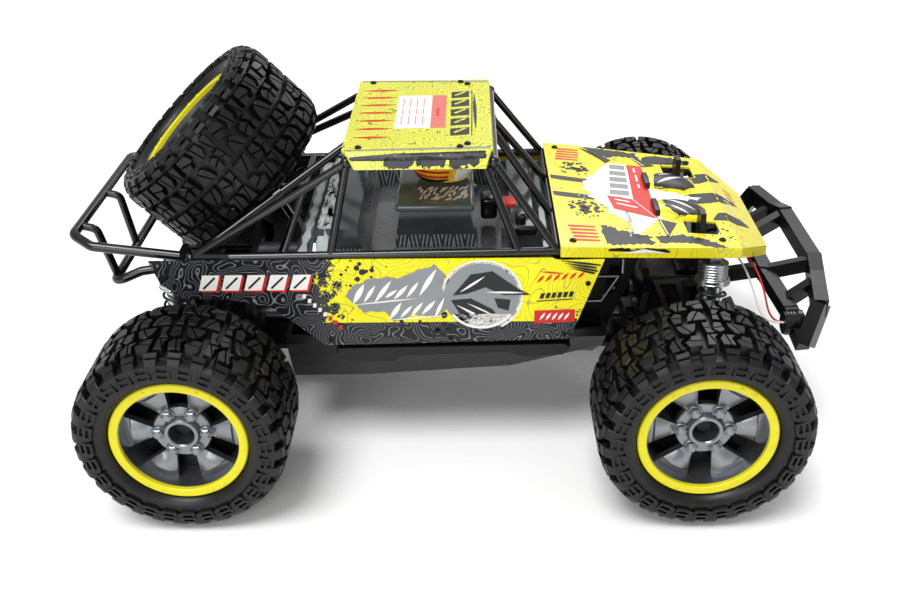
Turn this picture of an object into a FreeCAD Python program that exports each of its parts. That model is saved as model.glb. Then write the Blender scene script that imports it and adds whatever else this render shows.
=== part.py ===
import FreeCAD, Part
import math
import os
import re

from FreeCAD import Placement, Rotation, Vector

# Electric 1:10 off-road buggy, millimetres. X forward, Y to its left, Z up, ground at Z = 0.
doc = FreeCAD.newDocument("buggy")

DIMENSIONS = {
    "front_axle_x": 131.8, "rear_axle_x": -143.8, "axle_height": 57.0,
    "tyre_radius": 57.0, "tyre_width": 62.4, "wheel_middle": 120.0,
    "flange_radius": 36.5, "barrel_radius": 33.9, "rim_width": 47.0,
    "arm_inner": 24.0, "arm_reach": 58.0, "arm_drop": 6.0, "pin_spacing": 43.0,
    "pin_radius": 1.5, "pin_play": 0.06, "pivot_play": 0.6, "arm_thickness": 5.0,
    "kingpin": 90.0, "kingpin_radius": 2.5, "steer_arm": 19.8, "rack_setback": 5.5,
    "rack_height": 64.0,
    "case_half_length": 15.0, "case_half_width": 20.0, "bulkhead_gap": 15.0,
    "bulkhead_thickness": 4.0, "bulkhead_top": 92.0, "keel_bottom": 35.0, "keel_thickness": 3.0,
    "shaft_radius": 3.0, "shaft_height": 52.0, "halfshaft_radius": 2.0, "ball_radius": 3.5,
    "cup_radius": 4.6, "cup_wall": 1.9,
    "shock_offset": 14.2, "shock_top_y": 58.0, "shock_top_z": 119.0, "shock_foot": 44.0,
    "shock_foot_rise": 2.0, "shock_cap_radius": 7.75, "shock_body_radius": 6.2,
    "spring_radius": 8.0, "spring_wire": 0.8, "spring_top": 16.2, "spring_height": 51.0,
    "spring_pitch": 5.9, "eye_radius": 4.0, "eye_width": 6.0, "rod_radius": 1.5,
    "tower_thickness": 3.0,
    "skin": 1.2, "side_y": 76.0, "tube_radius": 2.5, "rack_tube_radius": 2.75,
    "roof_top": 184.0, "roof_half_width": 62.0, "roof_rear": -58.7, "roof_front": 22.1,
    "roof_drop": 7.5, "hood_rear": 58.3, "hood_bend": 159.3, "hood_nose": 181.2,
    "hood_rear_z": 134.9, "hood_bend_z": 126.7, "hood_nose_z": 114.1, "hood_hem": 6.2,
    "tub_wall": 2.4, "spare_x": -136.5, "spare_z": 165.0, "spare_lean": 46.0,
    "motor_radius": 18.0, "motor_length": 57.0, "servo_length": 40.0, "servo_width": 20.0,
    "servo_height": 36.0, "lead_radius": 0.6,
}

sheet = doc.addObject("Spreadsheet::Sheet", "Dims")
for row, (alias, value) in enumerate(DIMENSIONS.items(), start=1):
    sheet.set(f"A{row}", alias)
    sheet.set(f"B{row}", str(value))
    sheet.setAlias(f"B{row}", alias)
doc.recompute()

X_AXIS = Vector(1, 0, 0)
Y_AXIS = Vector(0, 1, 0)
Z_AXIS = Vector(0, 0, 1)
TURNS = {"x": Rotation(Y_AXIS, 90), "y": Rotation(X_AXIS, -90), "z": Rotation()}
nodes = []


def size(alias):
    """Reads one driving dimension."""
    return float(sheet.get(alias))


def formula(text):
    """Turns dimension names in a sum into references to the sheet."""
    return re.sub(r"[a-z_]{3,}", lambda word: f"Dims.{word.group()}", str(text))


def block(name, extents, centre):
    """A box with its middle at centre."""
    solid = doc.addObject("Part::Box", name)
    sides = zip(("Length", "Width", "Height"), "xyz", extents, centre)
    for side, axis, extent, middle in sides:
        solid.setExpression(side, formula(extent))
        solid.setExpression(f"Placement.Base.{axis}", formula(f"({middle}) - ({extent}) / 2"))
    return solid


def rod(name, radius, length, centre, axis):
    """A round bar with its middle at centre, along one axis."""
    solid = doc.addObject("Part::Cylinder", name)
    solid.Placement = Placement(Vector(), TURNS[axis])
    solid.setExpression("Radius", formula(radius))
    solid.setExpression("Height", formula(length))
    for letter, middle in zip("xyz", centre):
        back = f" - ({length}) / 2" if letter == axis else ""
        solid.setExpression(f"Placement.Base.{letter}", formula(f"({middle}){back}"))
    return solid


def link(name, radius, start, end):
    """A round bar from one point to another."""
    solid = doc.addObject("Part::Cylinder", name)
    solid.setExpression("Radius", formula(radius))
    solid.Height = (end - start).Length
    solid.Placement = Placement(start, Rotation(Z_AXIS, end - start))
    return solid


def ball(name, radius, centre):
    """A sphere at centre."""
    solid = doc.addObject("Part::Sphere", name)
    solid.setExpression("Radius", formula(radius))
    for letter, middle in zip("xyz", centre):
        solid.setExpression(f"Placement.Base.{letter}", formula(middle))
    return solid


def plate(name, outline, plane, thickness, holes=()):
    """A PartDesign plate: an outline padded both ways from a plane, with holes cut through."""
    body = doc.addObject("PartDesign::Body", name)
    pad = body.newObject("PartDesign::Pad", f"{name}_pad")
    pad.Profile = drawn_sketch(body, f"{name}_outline", [outline], plane)
    pad.setExpression("Length", formula(thickness))
    pad.Midplane = True
    if holes:
        pocket = body.newObject("PartDesign::Pocket", f"{name}_pocket")
        pocket.Profile = drawn_sketch(body, f"{name}_holes", holes, plane)
        pocket.Type = "ThroughAll"
        pocket.Midplane = True
    return body


def drawn_sketch(body, name, loops, plane):
    """A sketch of closed loops of corners on one of the body's own planes."""
    sketch = body.newObject("Sketcher::SketchObject", name)
    planes = {feature.Role: feature for feature in body.Origin.OriginFeatures}
    sketch.AttachmentSupport = [(planes[plane], "")]
    sketch.MapMode = "FlatFace"
    for loop in loops:
        corners = [Vector(u, v, 0) for u, v in loop]
        for start, end in zip(corners, corners[1:] + corners[:1]):
            sketch.addGeometry(Part.LineSegment(start, end), False)
    return sketch


def fused(name, *pieces):
    """Several pieces as one."""
    whole = doc.addObject("Part::MultiFuse", name)
    whole.Shapes = list(pieces)
    return whole


def cut(name, base, *tools):
    """A piece with others taken out of it."""
    remainder = doc.addObject("Part::Cut", name)
    remainder.Base = base
    remainder.Tool = tools[0] if len(tools) == 1 else fused(f"{name}_tools", *tools)
    return remainder


def solid_feature(name, shape, placement=Placement()):
    """A feature whose shape is made by code."""
    feature = doc.addObject("Part::Feature", name)
    feature.Shape = shape
    feature.Placement = placement
    return feature


def node(piece, label, placement=None):
    """Names a finished sub-part for export, and puts it in its place."""
    if placement is not None:
        piece.Placement = placement
    piece.Label = label
    nodes.append(piece)
    return piece


def mirrored_pairs(outline):
    """A half outline, given from the middle outwards, with its mirror image across X."""
    return outline + [(-u, v) for u, v in reversed(outline)]


def loft_solid(sections):
    """A ruled solid through closed sections of corner points."""
    wires = [Part.makePolygon([Vector(*p) for p in corners + corners[:1]]) for corners in sections]
    return Part.makeLoft(wires, True, True)


def prism(outline, plane, start, end):
    """An outline pushed along the axis that its plane leaves out."""
    spots = {"xy": lambda u, v: Vector(u, v, start), "xz": lambda u, v: Vector(u, start, v),
             "yz": lambda u, v: Vector(start, u, v)}
    push = {"xy": Z_AXIS, "xz": Y_AXIS, "yz": X_AXIS}[plane] * (end - start)
    corners = [spots[plane](u, v) for u, v in outline]
    return Part.Face(Part.makePolygon(corners + corners[:1])).extrude(push)


def bent_wire(points, bend):
    """Straight runs through points, joined by arcs that touch them."""
    edges, start = [], points[0]
    for before, corner, after in zip(points, points[1:], points[2:]):
        into = (corner - before).normalize()
        out = (after - corner).normalize()
        half_turn = into.getAngle(out) / 2
        trim = bend * math.tan(half_turn)
        first, last = corner - into * trim, corner + out * trim
        middle = corner + (out - into).normalize() * (bend / math.cos(half_turn) - bend)
        edges.append(Part.LineSegment(start, first).toShape())
        edges.append(Part.Arc(first, middle, last).toShape())
        start = last
    edges.append(Part.LineSegment(start, points[-1]).toShape())
    return Part.Wire(edges)


def tube(run, radius, bend=8.0):
    """A round bar along a run of points, bent at each one."""
    points = [Vector(*point) for point in run]
    ring = Part.Wire(Part.makeCircle(radius, points[0], points[1] - points[0]))
    return bent_wire(points, bend).makePipeShell([ring], True, False)


def both_sides(runs):
    """Runs of points and their mirror images across the middle plane."""
    return runs + [[(x, -y, z) for x, y, z in run] for run in runs]


def beam(start, end, width, depth):
    """A rectangular bar between two points: width across, depth up."""
    start, end = Vector(*start), Vector(*end)
    along = (end - start).normalize()
    across = Z_AXIS.cross(along).normalize() * (width / 2)
    up = along.cross(across).normalize() * (depth / 2)
    back = start - along * (width * 0.25)
    corners = [back + across + up, back - across + up, back - across - up, back + across - up]
    face = Part.Face(Part.makePolygon(corners + corners[:1]))
    return face.extrude(along * ((end - start).Length + width * 0.5))


# ---------------------------------------------------------------- wheels

def tyre_section():
    """Half-plane outline of the hollow tyre, across its width and out from the axle."""
    half = size("tyre_width") / 2
    outer = size("tyre_radius")
    bead = size("barrel_radius") + 0.3
    lip = size("flange_radius") + 0.4
    right = [(half - 15, bead), (half - 11, bead), (half - 11, lip), (half - 6.7, lip),
             (half - 1.7, lip + 2.6), (half, outer - 11), (half - 2.2, outer - 4.5),
             (half - 8.2, outer)]
    inside = [(half - 11, outer - 3.5), (half - 6, outer - 6), (half - 3.7, outer - 10),
              (half - 6, outer - 15), (half - 15, lip + 1.1)]
    left = [(-u, v) for u, v in reversed(right)]
    return right + left + [(-u, v) for u, v in reversed(inside)] + inside


def rim_section():
    """Half-plane outline of rim, hub, stub axle and drive cup; the wheel's outside is at +u."""
    half = size("rim_width") / 2
    flange, barrel = size("flange_radius"), size("barrel_radius")
    cup, wall, axle = size("cup_radius"), size("cup_wall"), size("shaft_radius")
    pivot = size("kingpin") - size("wheel_middle")
    return [(pivot - 5, cup), (pivot - 5, cup + wall), (pivot + 6.5, cup + wall),
            (pivot + 6.5, axle), (4, axle), (4, 9), (11, 10), (13, 31.8),
            (3 - half, 31.8), (-half, 32.8), (-half, flange), (3 - half, flange),
            (3 - half, barrel), (half - 3, barrel), (half - 3, flange), (half, flange),
            (half, 31.6), (17.5, 31.0), (16, 10.5), (18, 8.6), (18, 6.75), (8, 6.75),
            (8, 0), (pivot + 4.5, 0), (pivot + 4.5, cup)]


def turned(name, section):
    """A PartDesign body turned about its own Y axis."""
    body = doc.addObject("PartDesign::Body", name)
    sketch = drawn_sketch(body, f"{name}_section", [section], "YZ_Plane")
    turn = body.newObject("PartDesign::Revolution", f"{name}_turn")
    turn.Profile = sketch
    turn.ReferenceAxis = (sketch, ["H_Axis"])
    turn.Angle = 360
    return body


def rim_body(name):
    """A rim with six windows between its spokes."""
    body = turned(name, rim_section())
    window = [(-5.3, 15.0), (5.3, 15.0), (6.4, 30.4), (-6.4, 30.4)]
    pocket = body.newObject("PartDesign::Pocket", f"{name}_window")
    pocket.Profile = drawn_sketch(body, f"{name}_window_sketch", [window], "XZ_Plane")
    pocket.Type = "ThroughAll"
    pocket.Midplane = True
    pattern = body.newObject("PartDesign::PolarPattern", f"{name}_windows")
    pattern.Originals = [pocket]
    axes = {feature.Role: feature for feature in body.Origin.OriginFeatures}
    pattern.Axis = (axes["Y_Axis"], [""])
    pattern.Occurrences = 6
    body.Tip = pattern
    return body


def wheel(corner, axle_x, side):
    """Tyre and rim of one corner."""
    turn = Rotation() if side > 0 else Rotation(Z_AXIS, 180)
    place = Placement(Vector(axle_x, side * size("wheel_middle"), size("axle_height")), turn)
    node(turned(f"Tyre_{corner}", tyre_section()), f"tyre_{corner}", place)
    node(rim_body(f"Rim_{corner}"), f"rim_{corner}", place)


def spare_wheel():
    """The spare on its carrier behind the roof, its outside facing back and up."""
    tilt = Rotation(Y_AXIS, -size("spare_lean")).multiply(Rotation(X_AXIS, 90))
    place = Placement(Vector(size("spare_x"), 0, size("spare_z")), tilt)
    rim = rim_body("Spare_rim")
    stub = rod("Spare_stub", "cup_radius + cup_wall + 1", 60, (0, "-26", 0), "y")
    bare = cut("Spare_rim_bare", rim, stub)
    node(fused("Spare_wheel", turned("Spare_tyre", tyre_section()), bare), "spare_wheel", place)


# ---------------------------------------------------------------- suspension

def arm_slope():
    """Droop of the arms at rest, in degrees."""
    return math.degrees(math.atan2(size("arm_drop"), size("arm_reach")))


def arm_length():
    """Distance between an arm's two pins."""
    return math.hypot(size("arm_drop"), size("arm_reach"))


def pin_height(upper, outer):
    """Height of an arm's inner or outer pin."""
    middle = size("axle_height") + (0 if outer else size("arm_drop"))
    return middle + (0.5 if upper else -0.5) * size("pin_spacing")


def arm_place(axle_x, side, upper):
    """Puts an arm drawn flat with its inner pin at the origin on its hinge."""
    spot = Vector(axle_x, side * size("arm_inner"), pin_height(upper, False))
    return Placement(spot, Rotation(X_AXIS, -side * arm_slope()))


def arm_ends(name, side, half_barrel):
    """Inner barrel, outer fork and outer pin of an arm, with the tools that bore it."""
    length = side * arm_length()
    barrel = rod(f"{name}_barrel", "arm_thickness / 2 + 0.9", 2 * half_barrel, (0, 0, 0), "x")
    forks = [rod(f"{name}_fork_{i}", 3.4, 3.7, (x, length, 0), "x") for i, x in enumerate((-6.15, 6.15))]
    bore = rod(f"{name}_bore", "pin_radius + pin_play", 60, (0, 0, 0), "x")
    pin = rod(f"{name}_pin", "pin_radius", 16, (0, length, 0), "x")
    return [barrel] + forks, bore, pin


def lower_arm(corner, axle_x, side, end):
    """Lower wishbone with the lug and pin that carry the shock's foot."""
    name = f"Lower_arm_{corner}"
    length = arm_length()
    outline = [(-14.6, 0), (14.6, 0), (11, 34), (8, length), (4.3, length), (4.3, length - 4.2),
               (-4.3, length - 4.2), (-4.3, length), (-8, length), (-11, 34)]
    window = [(-9.5, 7), (9.5, 7), (6.8, 32), (-6.8, 32)]
    slot = [(-5.4, 36), (5.4, 36), (3.6, 49), (-3.6, 49)]
    flip = [[(u * end, v * side) for u, v in loop] for loop in (outline, window, slot)]
    web = plate(f"{name}_web", flip[0], "XY_Plane", "arm_thickness", flip[1:])
    ends, bore, pin = arm_ends(name, side, 14.7)
    foot_y, foot_z = side * size("shock_foot"), size("shock_foot_rise")
    lug = rod(f"{name}_lug", 3.2, 3.4, (end * 9.3, foot_y, foot_z), "x")
    stud = rod(f"{name}_stud", "pin_radius", 11, (end * 13.3, foot_y, foot_z), "x")
    bored = cut(f"{name}_bored", fused(f"{name}_solid", web, lug, *ends), bore)
    node(fused(name, bored, pin, stud), f"lower_arm_{corner}", arm_place(axle_x, side, False))


def upper_arm(corner, axle_x, side, end):
    """Upper link, set to the side away from the shock."""
    name = f"Upper_arm_{corner}"
    length = arm_length()
    outline = [(-13, 0), (4, 0), (3, 46), (8, length - 8), (8, length), (4.3, length),
               (4.3, length - 4.2), (-4.3, length - 4.2), (-4.3, length), (-8, length),
               (-8, length - 8), (-9.5, 46)]
    window = [(-9.5, 7), (0.5, 7), (-0.5, 42), (-6.8, 42)]
    flip = [[(u * end, v * side) for u, v in loop] for loop in (outline, window)]
    web = plate(f"{name}_web", flip[0], "XY_Plane", "arm_thickness", flip[1:])
    ends, bore, pin = arm_ends(name, side, 13)
    bored = cut(f"{name}_bored", fused(f"{name}_solid", web, *ends), bore)
    node(fused(name, bored, pin), f"upper_arm_{corner}", arm_place(axle_x, side, True))


def carrier_lugs(name, axle_x, side, pin_y):
    """Blocks that hang a carrier on the arms' outer pins, and the bores for the pins."""
    lugs, bores = [], []
    for level, upper in (("low", False), ("high", True)):
        height = pin_height(upper, True)
        away = 1 if upper else -1
        play = "pivot_play / 2" if upper else "pin_play"
        lugs.append(rod(f"{name}_{level}_lug", 3.4, 8, (axle_x, pin_y, height), "x"))
        lugs.append(block(f"{name}_{level}_web", (8, 6.8, 5), (axle_x, pin_y, height - away * 3)))
        bores.append(rod(f"{name}_{level}_bore", f"pin_radius + {play}", 20,
                         (axle_x, pin_y, height), "x"))
    return lugs, bores


def hub_carrier(corner, axle_x, side, steered):
    """Front: a fork that holds the kingpins. Rear: the housing of the wheel bearing."""
    name = f"Carrier_{corner}"
    axle = "axle_height"
    pin_y = side * (size("arm_inner") + size("arm_reach"))
    lugs, bores = carrier_lugs(name, axle_x, side, pin_y)
    if steered:
        back = block(f"{name}_back", (15, 5, 35), (axle_x, side * 76.5, axle))
        ears = [block(f"{name}_ear_{i}", (14, 22, 5), (axle_x, side * 85, f"{axle} + {z}"))
                for i, z in enumerate((-15, 15))]
        tools = [rod(f"{name}_window", 6.2, 12, (axle_x, side * 76.5, axle), "y")]
        tools.append(rod(f"{name}_kingpin_bore", "kingpin_radius + pin_play", 50,
                         (axle_x, f"{side} * kingpin", axle), "z"))
        core = [back] + ears
    else:
        core = [block(f"{name}_core", (18, 6, 35), (axle_x, side * 82, axle)),
                rod(f"{name}_housing", 10.5, 26, (axle_x, side * 92, axle), "y")]
        tools = [rod(f"{name}_cup_bore", "cup_radius + cup_wall + 0.7", 22,
                     (axle_x, side * 87, axle), "y"),
                 rod(f"{name}_bearing", "shaft_radius + pin_play", 60, (axle_x, side * 90, axle), "y")]
    whole = fused(f"{name}_solid", *core, *lugs)
    node(cut(name, whole, *tools, *bores), f"hub_carrier_{corner}")


def knuckle(corner, axle_x, side):
    """Front bearing housing with kingpins and the steering arm that reaches back."""
    name = f"Knuckle_{corner}"
    axle, king = "axle_height", f"{side} * kingpin"
    housing = rod(f"{name}_housing", 10.5, 20.5, (axle_x, side * 94.75, axle), "y")
    pins = rod(f"{name}_pins", "kingpin_radius", 34.6, (axle_x, king, axle), "z")
    arm = block(f"{name}_arm", (16, 7, 5), (axle_x - 13, king, "axle_height + 7.7"))
    boss = rod(f"{name}_boss", 4, 5, (f"{axle_x} - steer_arm", king, "axle_height + 7.7"), "z")
    post = rod(f"{name}_post", 1.5, 11, (f"{axle_x} - steer_arm", king, "axle_height + 2.5"), "z")
    cup_room = rod(f"{name}_cup_room", "cup_radius + cup_wall + 0.7", 20, (axle_x, side * 88, axle), "y")
    bearing = rod(f"{name}_bearing", "shaft_radius + pin_play", 60, (axle_x, king, axle), "y")
    solid = fused(f"{name}_solid", housing, pins, arm, boss, post)
    node(cut(name, solid, cup_room, bearing), f"knuckle_{corner}")


def halfshaft(corner, axle_x, side):
    """Dog-bone shaft from the gearbox output to the wheel, parallel to the arms."""
    name = f"Halfshaft_{corner}"
    length = side * arm_length()
    bar = rod(f"{name}_bar", "halfshaft_radius", arm_length(), (0, length / 2, 0), "y")
    balls = [ball(f"{name}_ball_{i}", "ball_radius", (0, y, 0)) for i, y in enumerate((0, length))]
    inner_y = size("kingpin") - size("arm_reach")
    spot = Vector(axle_x, side * inner_y, size("axle_height") + size("arm_drop"))
    place = Placement(spot, Rotation(X_AXIS, -side * arm_slope()))
    node(fused(name, bar, *balls), f"halfshaft_{corner}", place)


def shock_line(axle_x, side, end):
    """Top eye, foot eye and lean of a shock."""
    slope = math.radians(arm_slope())
    reach, rise = size("shock_foot"), size("shock_foot_rise")
    foot_y = size("arm_inner") + reach * math.cos(slope) + rise * math.sin(slope)
    foot_z = pin_height(False, False) - reach * math.sin(slope) + rise * math.cos(slope)
    top = Vector(axle_x + end * size("shock_offset"), side * size("shock_top_y"), size("shock_top_z"))
    foot = Vector(top.x, side * foot_y, foot_z)
    lean = math.degrees(math.atan2(foot_y - size("shock_top_y"), top.z - foot.z))
    return top, foot, Rotation(X_AXIS, side * lean)


def shock(corner, axle_x, side, end):
    """Damper body, rod with its spring seat, and coil spring; each drawn hanging from its top eye."""
    top, foot, lean = shock_line(axle_x, side, end)
    length = (top - foot).Length
    place = Placement(top, lean)
    name = f"Shock_{corner}"
    eye = rod(f"{name}_eye", "eye_radius", "eye_width", (0, 0, 0), "x")
    cap = rod(f"{name}_cap", "shock_cap_radius", 9.6, (0, 0, -8.2), "z")
    collar = rod(f"{name}_collar", "shock_cap_radius + 1.75", 2.5, (0, 0, -14.4), "z")
    barrel = rod(f"{name}_barrel", "shock_body_radius", 34, (0, 0, -29), "z")
    eye_bore = rod(f"{name}_eye_bore", "pin_radius + pin_play", 20, (0, 0, 0), "x")
    rod_bore = rod(f"{name}_rod_bore", "rod_radius + pin_play", 30, (0, 0, -34), "z")
    solid = fused(f"{name}_solid", eye, cap, collar, barrel)
    node(cut(f"{name}_body", solid, eye_bore, rod_bore), f"shock_body_{corner}", place)

    name = f"Rod_{corner}"
    bar = rod(f"{name}_bar", "rod_radius", length - 35, (0, 0, -(length + 31) / 2), "z")
    seat = rod(f"{name}_seat", 9.2, 2.6, (0, 0, -69.2), "z")
    neck = rod(f"{name}_neck", 3.2, 6, (0, 0, -73), "z")
    foot_eye = rod(f"{name}_eye", "eye_radius", "eye_width", (0, 0, -length), "x")
    foot_bore = rod(f"{name}_bore", "pin_radius + pivot_play", 20, (0, 0, -length), "x")
    solid = fused(f"{name}_solid", bar, seat, neck, foot_eye)
    node(cut(name, solid, foot_bore), f"shock_rod_{corner}", place)

    name = f"Spring_{corner}"
    helix = doc.addObject("Part::Helix", f"{name}_helix")
    for prop, text in (("Radius", "spring_radius"), ("Height", "spring_height - 2 * spring_wire"),
                       ("Pitch", "spring_pitch")):
        helix.setExpression(prop, formula(text))
    helix.SegmentLength = 1.0
    wire = doc.addObject("Part::Circle", f"{name}_wire")
    wire.Placement = Placement(Vector(size("spring_radius"), 0, 0), Rotation(X_AXIS, 90))
    wire.setExpression("Radius", formula("spring_wire"))
    coil = doc.addObject("Part::Sweep", name)
    coil.Sections = [wire]
    coil.Spine = (helix, [])
    coil.Solid = True
    coil.Frenet = True
    low = -(size("spring_top") + size("spring_height") - size("spring_wire"))
    node(coil, f"spring_{corner}", place.multiply(Placement(Vector(0, 0, low), Rotation())))


def gearbox(label, axle_x, end):
    """Gear case between two bulkheads that carry the arms' inner pins, with its output cups."""
    name = label.title()
    case = block(f"{name}_case", ("2 * case_half_length", "2 * case_half_width", 46),
                 (axle_x, 0, "keel_bottom + keel_thickness + 23"))
    low = size("keel_bottom") + size("keel_thickness")
    top = size("bulkhead_top")
    outline = mirrored_pairs([(19, low), (30, low), (30, low + 9), (24, 63), (30, top - 12), (30, top - 2),
                              (22, top)])
    offset = size("bulkhead_gap") + size("bulkhead_thickness") / 2
    walls = []
    for tag, shift in (("front", offset), ("rear", -offset)):
        wall = plate(f"{name}_{tag}_bulkhead", outline, "YZ_Plane", "bulkhead_thickness")
        wall.Placement = Placement(Vector(axle_x + shift, 0, 0), Rotation())
        walls.append(wall)
    span = "2 * (bulkhead_gap + bulkhead_thickness)"
    pins = [rod(f"{name}_pin_{i}", "pin_radius", span, (axle_x, side * size("arm_inner"), z), "x")
            for i, (side, z) in enumerate((s, pin_height(u, False)) for s in (1, -1) for u in (0, 1))]
    height = "axle_height + arm_drop"
    outputs = [rod(f"{name}_output_{i}", "cup_radius + cup_wall", 17.5, (axle_x, side * 28.5, height), "y")
               for i, side in enumerate((1, -1))]
    rooms = [rod(f"{name}_room_{i}", "cup_radius", 9.2, (axle_x, side * 32.7, height), "y")
             for i, side in enumerate((1, -1))]
    inboard = axle_x - end * (size("bulkhead_gap") + size("bulkhead_thickness"))
    socket = rod(f"{name}_socket", "shaft_radius + pin_play", 8, (inboard, 0, "shaft_height"), "x")
    solid = fused(f"{name}_solid", case, *walls, *pins, *outputs)
    node(cut(name, solid, socket, *rooms), label)


def shock_towers():
    """Two plates that stand on the gear cases and carry the shocks' top pins."""
    parts = []
    base = size("keel_bottom") + size("keel_thickness") + 46
    for tag, axle_x, end in (("front", "front_axle_x", 1), ("rear", "rear_axle_x", -1)):
        horn = [(48, 124.5), (44, 138), (36, 138), (34, 120), (9, 98)]
        crest = horn if end > 0 else [(48, 124.5), (40, 112), (30, 101)]
        wing = [(20, base), (20, 94), (30, 96.5), (45, 105), (48, 115.4), (64, 117.2), (64, 123), (60, 124.5)]
        plate_x = size(axle_x) + end * (size("shock_offset") - 5.0)
        wall = plate(f"Tower_{tag}", mirrored_pairs(wing + crest), "YZ_Plane", "tower_thickness")
        wall.Placement = Placement(Vector(plate_x, 0, 0), Rotation())
        foot = block(f"Tower_foot_{tag}", (11, 34, 4), (plate_x, 0, base + 2))
        pins = [rod(f"Tower_pin_{tag}_{i}", "pin_radius", 12,
                    (plate_x + end * 4.5, side * size("shock_top_y"), "shock_top_z"), "x")
                for i, side in enumerate((1, -1))]
        parts += [wall, foot] + pins
    node(fused("Shock_towers", *parts), "shock_towers")


# ---------------------------------------------------------------- drive and steering

def centre_driveshaft():
    """Shaft along the tub between the two gearboxes, with a joint cup at each end."""
    clear = size("bulkhead_gap") + size("bulkhead_thickness")
    rear, front = size("rear_axle_x") + clear, size("front_axle_x") - clear
    middle, span = (rear + front) / 2, front - rear
    bar = rod("Centre_bar", "shaft_radius", span + 7, (middle, 0, "shaft_height"), "x")
    cups = [rod(f"Centre_cup_{i}", 5.6, 14, (x, 0, "shaft_height"), "x")
            for i, x in enumerate((rear + 10, front - 10))]
    node(fused("Centre_driveshaft", bar, *cups), "centre_driveshaft")


def motor():
    """Closed motor can on the rear gearbox."""
    clear = size("bulkhead_gap") + size("bulkhead_thickness")
    face = size("rear_axle_x") + clear
    can = rod("Motor_can", "motor_radius", "motor_length", (f"{face} + motor_length / 2", 27, 68), "x")
    bell = rod("Motor_bell", "motor_radius - 4", "motor_length + 8",
               (f"{face} + motor_length / 2 + 4", 27, 68), "x")
    tail = rod("Motor_tail", 3, "motor_length + 14", (f"{face} + motor_length / 2 + 7", 27, 68), "x")
    node(fused("Motor", can, bell, tail), "motor")


def electronics():
    """Battery pack, speed controller with its fins, and receiver box."""
    battery = block("Battery", (118, 36, 24), (-28, -32, 58))
    controller = block("Controller", (46, 30, 22), (-30, 32, 57))
    fins = [block(f"Controller_fin_{i}", (42, 1.6, 8), (-30, 20 + 6 * i, 71)) for i in range(5)]
    receiver = block("Receiver", (34, 24, 18), (22, 32, 59))
    strap = block("Battery_strap", (14, 38, 26), (-28, -32, 58.4))
    node(fused("Electronics", battery, strap, controller, *fins, receiver), "electronics")


def steering_servo():
    """Servo hung shaft-down on the post in the nose of the tub."""
    axis_x = "front_axle_x - rack_setback - 2 * steer_arm"
    case = block("Servo_case", ("servo_length", "servo_width", "servo_height"), (85.4, 0, 94))
    ears = block("Servo_ears", ("servo_length + 12", "servo_width", 2.6), (85.4, 0, 98))
    boss = rod("Servo_boss", 6, 3, (axis_x, 0, 75.2), "z")
    spline = rod("Servo_spline", 2.4, 6.5, (axis_x, 0, 71.5), "z")
    node(fused("Steering_servo", case, ears, boss, spline), "steering_servo")


def servo_horn():
    """Arm on the servo shaft whose pin works in the rack's slot."""
    tip_x = "front_axle_x - rack_setback - steer_arm"
    axis_x = f"{tip_x} - steer_arm"
    hub = rod("Horn_hub", 5, 5, (axis_x, 0, 71), "z")
    arm = block("Horn_arm", ("steer_arm", 6, 3), (f"{tip_x} - steer_arm / 2", 0, 70.2))
    tip = rod("Horn_tip", 3.6, 3, (tip_x, 0, 70.2), "z")
    pin = rod("Horn_pin", 1.5, 8, (tip_x, 0, 66), "z")
    bore = rod("Horn_bore", "2.4 + pin_play", 12, (axis_x, 0, 71), "z")
    node(cut("Servo_horn", fused("Horn_solid", hub, arm, tip, pin), bore), "servo_horn")


def steering_rack():
    """Sliding bar with a slot for the horn pin and a fork at each end for a tie rod."""
    x = "front_axle_x - rack_setback - steer_arm"
    bar = block("Rack_bar", (7, 44, 5), (x, 0, "rack_height"))
    yoke = block("Rack_yoke", (12, 9, 5), (x, 0, "rack_height"))
    slot = block("Rack_slot", (7, 3.5, 8), (x, 0, "rack_height"))
    joint_y = size("kingpin") - size("arm_reach")
    arms, pins, gaps = [], [], []
    for i, side in enumerate((1, -1)):
        arms.append(block(f"Rack_fork_{i}", (11, 14, 7), (x, side * 28, "rack_height")))
        gaps.append(block(f"Rack_gap_{i}", (5.2, 10, 12), (x, side * 31, "rack_height")))
        pins.append(rod(f"Rack_pin_{i}", "pin_radius", 11, (x, side * joint_y, "rack_height"), "x"))
    solid = cut("Rack_solid", fused("Rack_blank", bar, yoke, *arms), slot, *gaps)
    node(fused("Steering_rack", solid, *pins), "steering_rack")


def tie_rod(label, side):
    """Link from the rack to a knuckle, parallel to the arms; its outer eye is loose on the post."""
    name = label.title()
    length = side * arm_length()
    eye = rod(f"{name}_eye", 3, 4.6, (0, 0, 0), "x")
    setback = size("rack_setback")
    bar = link(f"{name}_bar", 1.6, Vector(0, side * 2, 0), Vector(setback * 0.93, length - side * 4, 0))
    ring = rod(f"{name}_ring", 5.2, 4.5, (setback, length, 0), "z")
    bores = [rod(f"{name}_bore", "pin_radius + pin_play", 12, (0, 0, 0), "x"),
             rod(f"{name}_play", "1.5 + 2.1", 12, (setback, length, 0), "z")]
    joint_y = size("kingpin") - size("arm_reach")
    rack_x = size("front_axle_x") - size("steer_arm") - setback
    spot = Vector(rack_x, side * joint_y, size("rack_height"))
    place = Placement(spot, Rotation(X_AXIS, -side * arm_slope()))
    node(cut(name, fused(f"{name}_solid", eye, bar, ring), *bores), label, place)


# ---------------------------------------------------------------- chassis and frame

def tub_section(x, edge_z, flank_z, sill_z, inset, lift):
    """One section of the boat-shaped tub: keel, rising bottom, flank, sill and side wall."""
    half = [(24 - inset, size("keel_bottom") + inset), (50 - inset, edge_z + inset),
            (60 - inset, flank_z + inset), (74.5 - inset, sill_z + inset), (74.5 - inset, sill_z + 5 + lift)]
    return [(x, y, z) for y, z in mirrored_pairs(half)]


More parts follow.
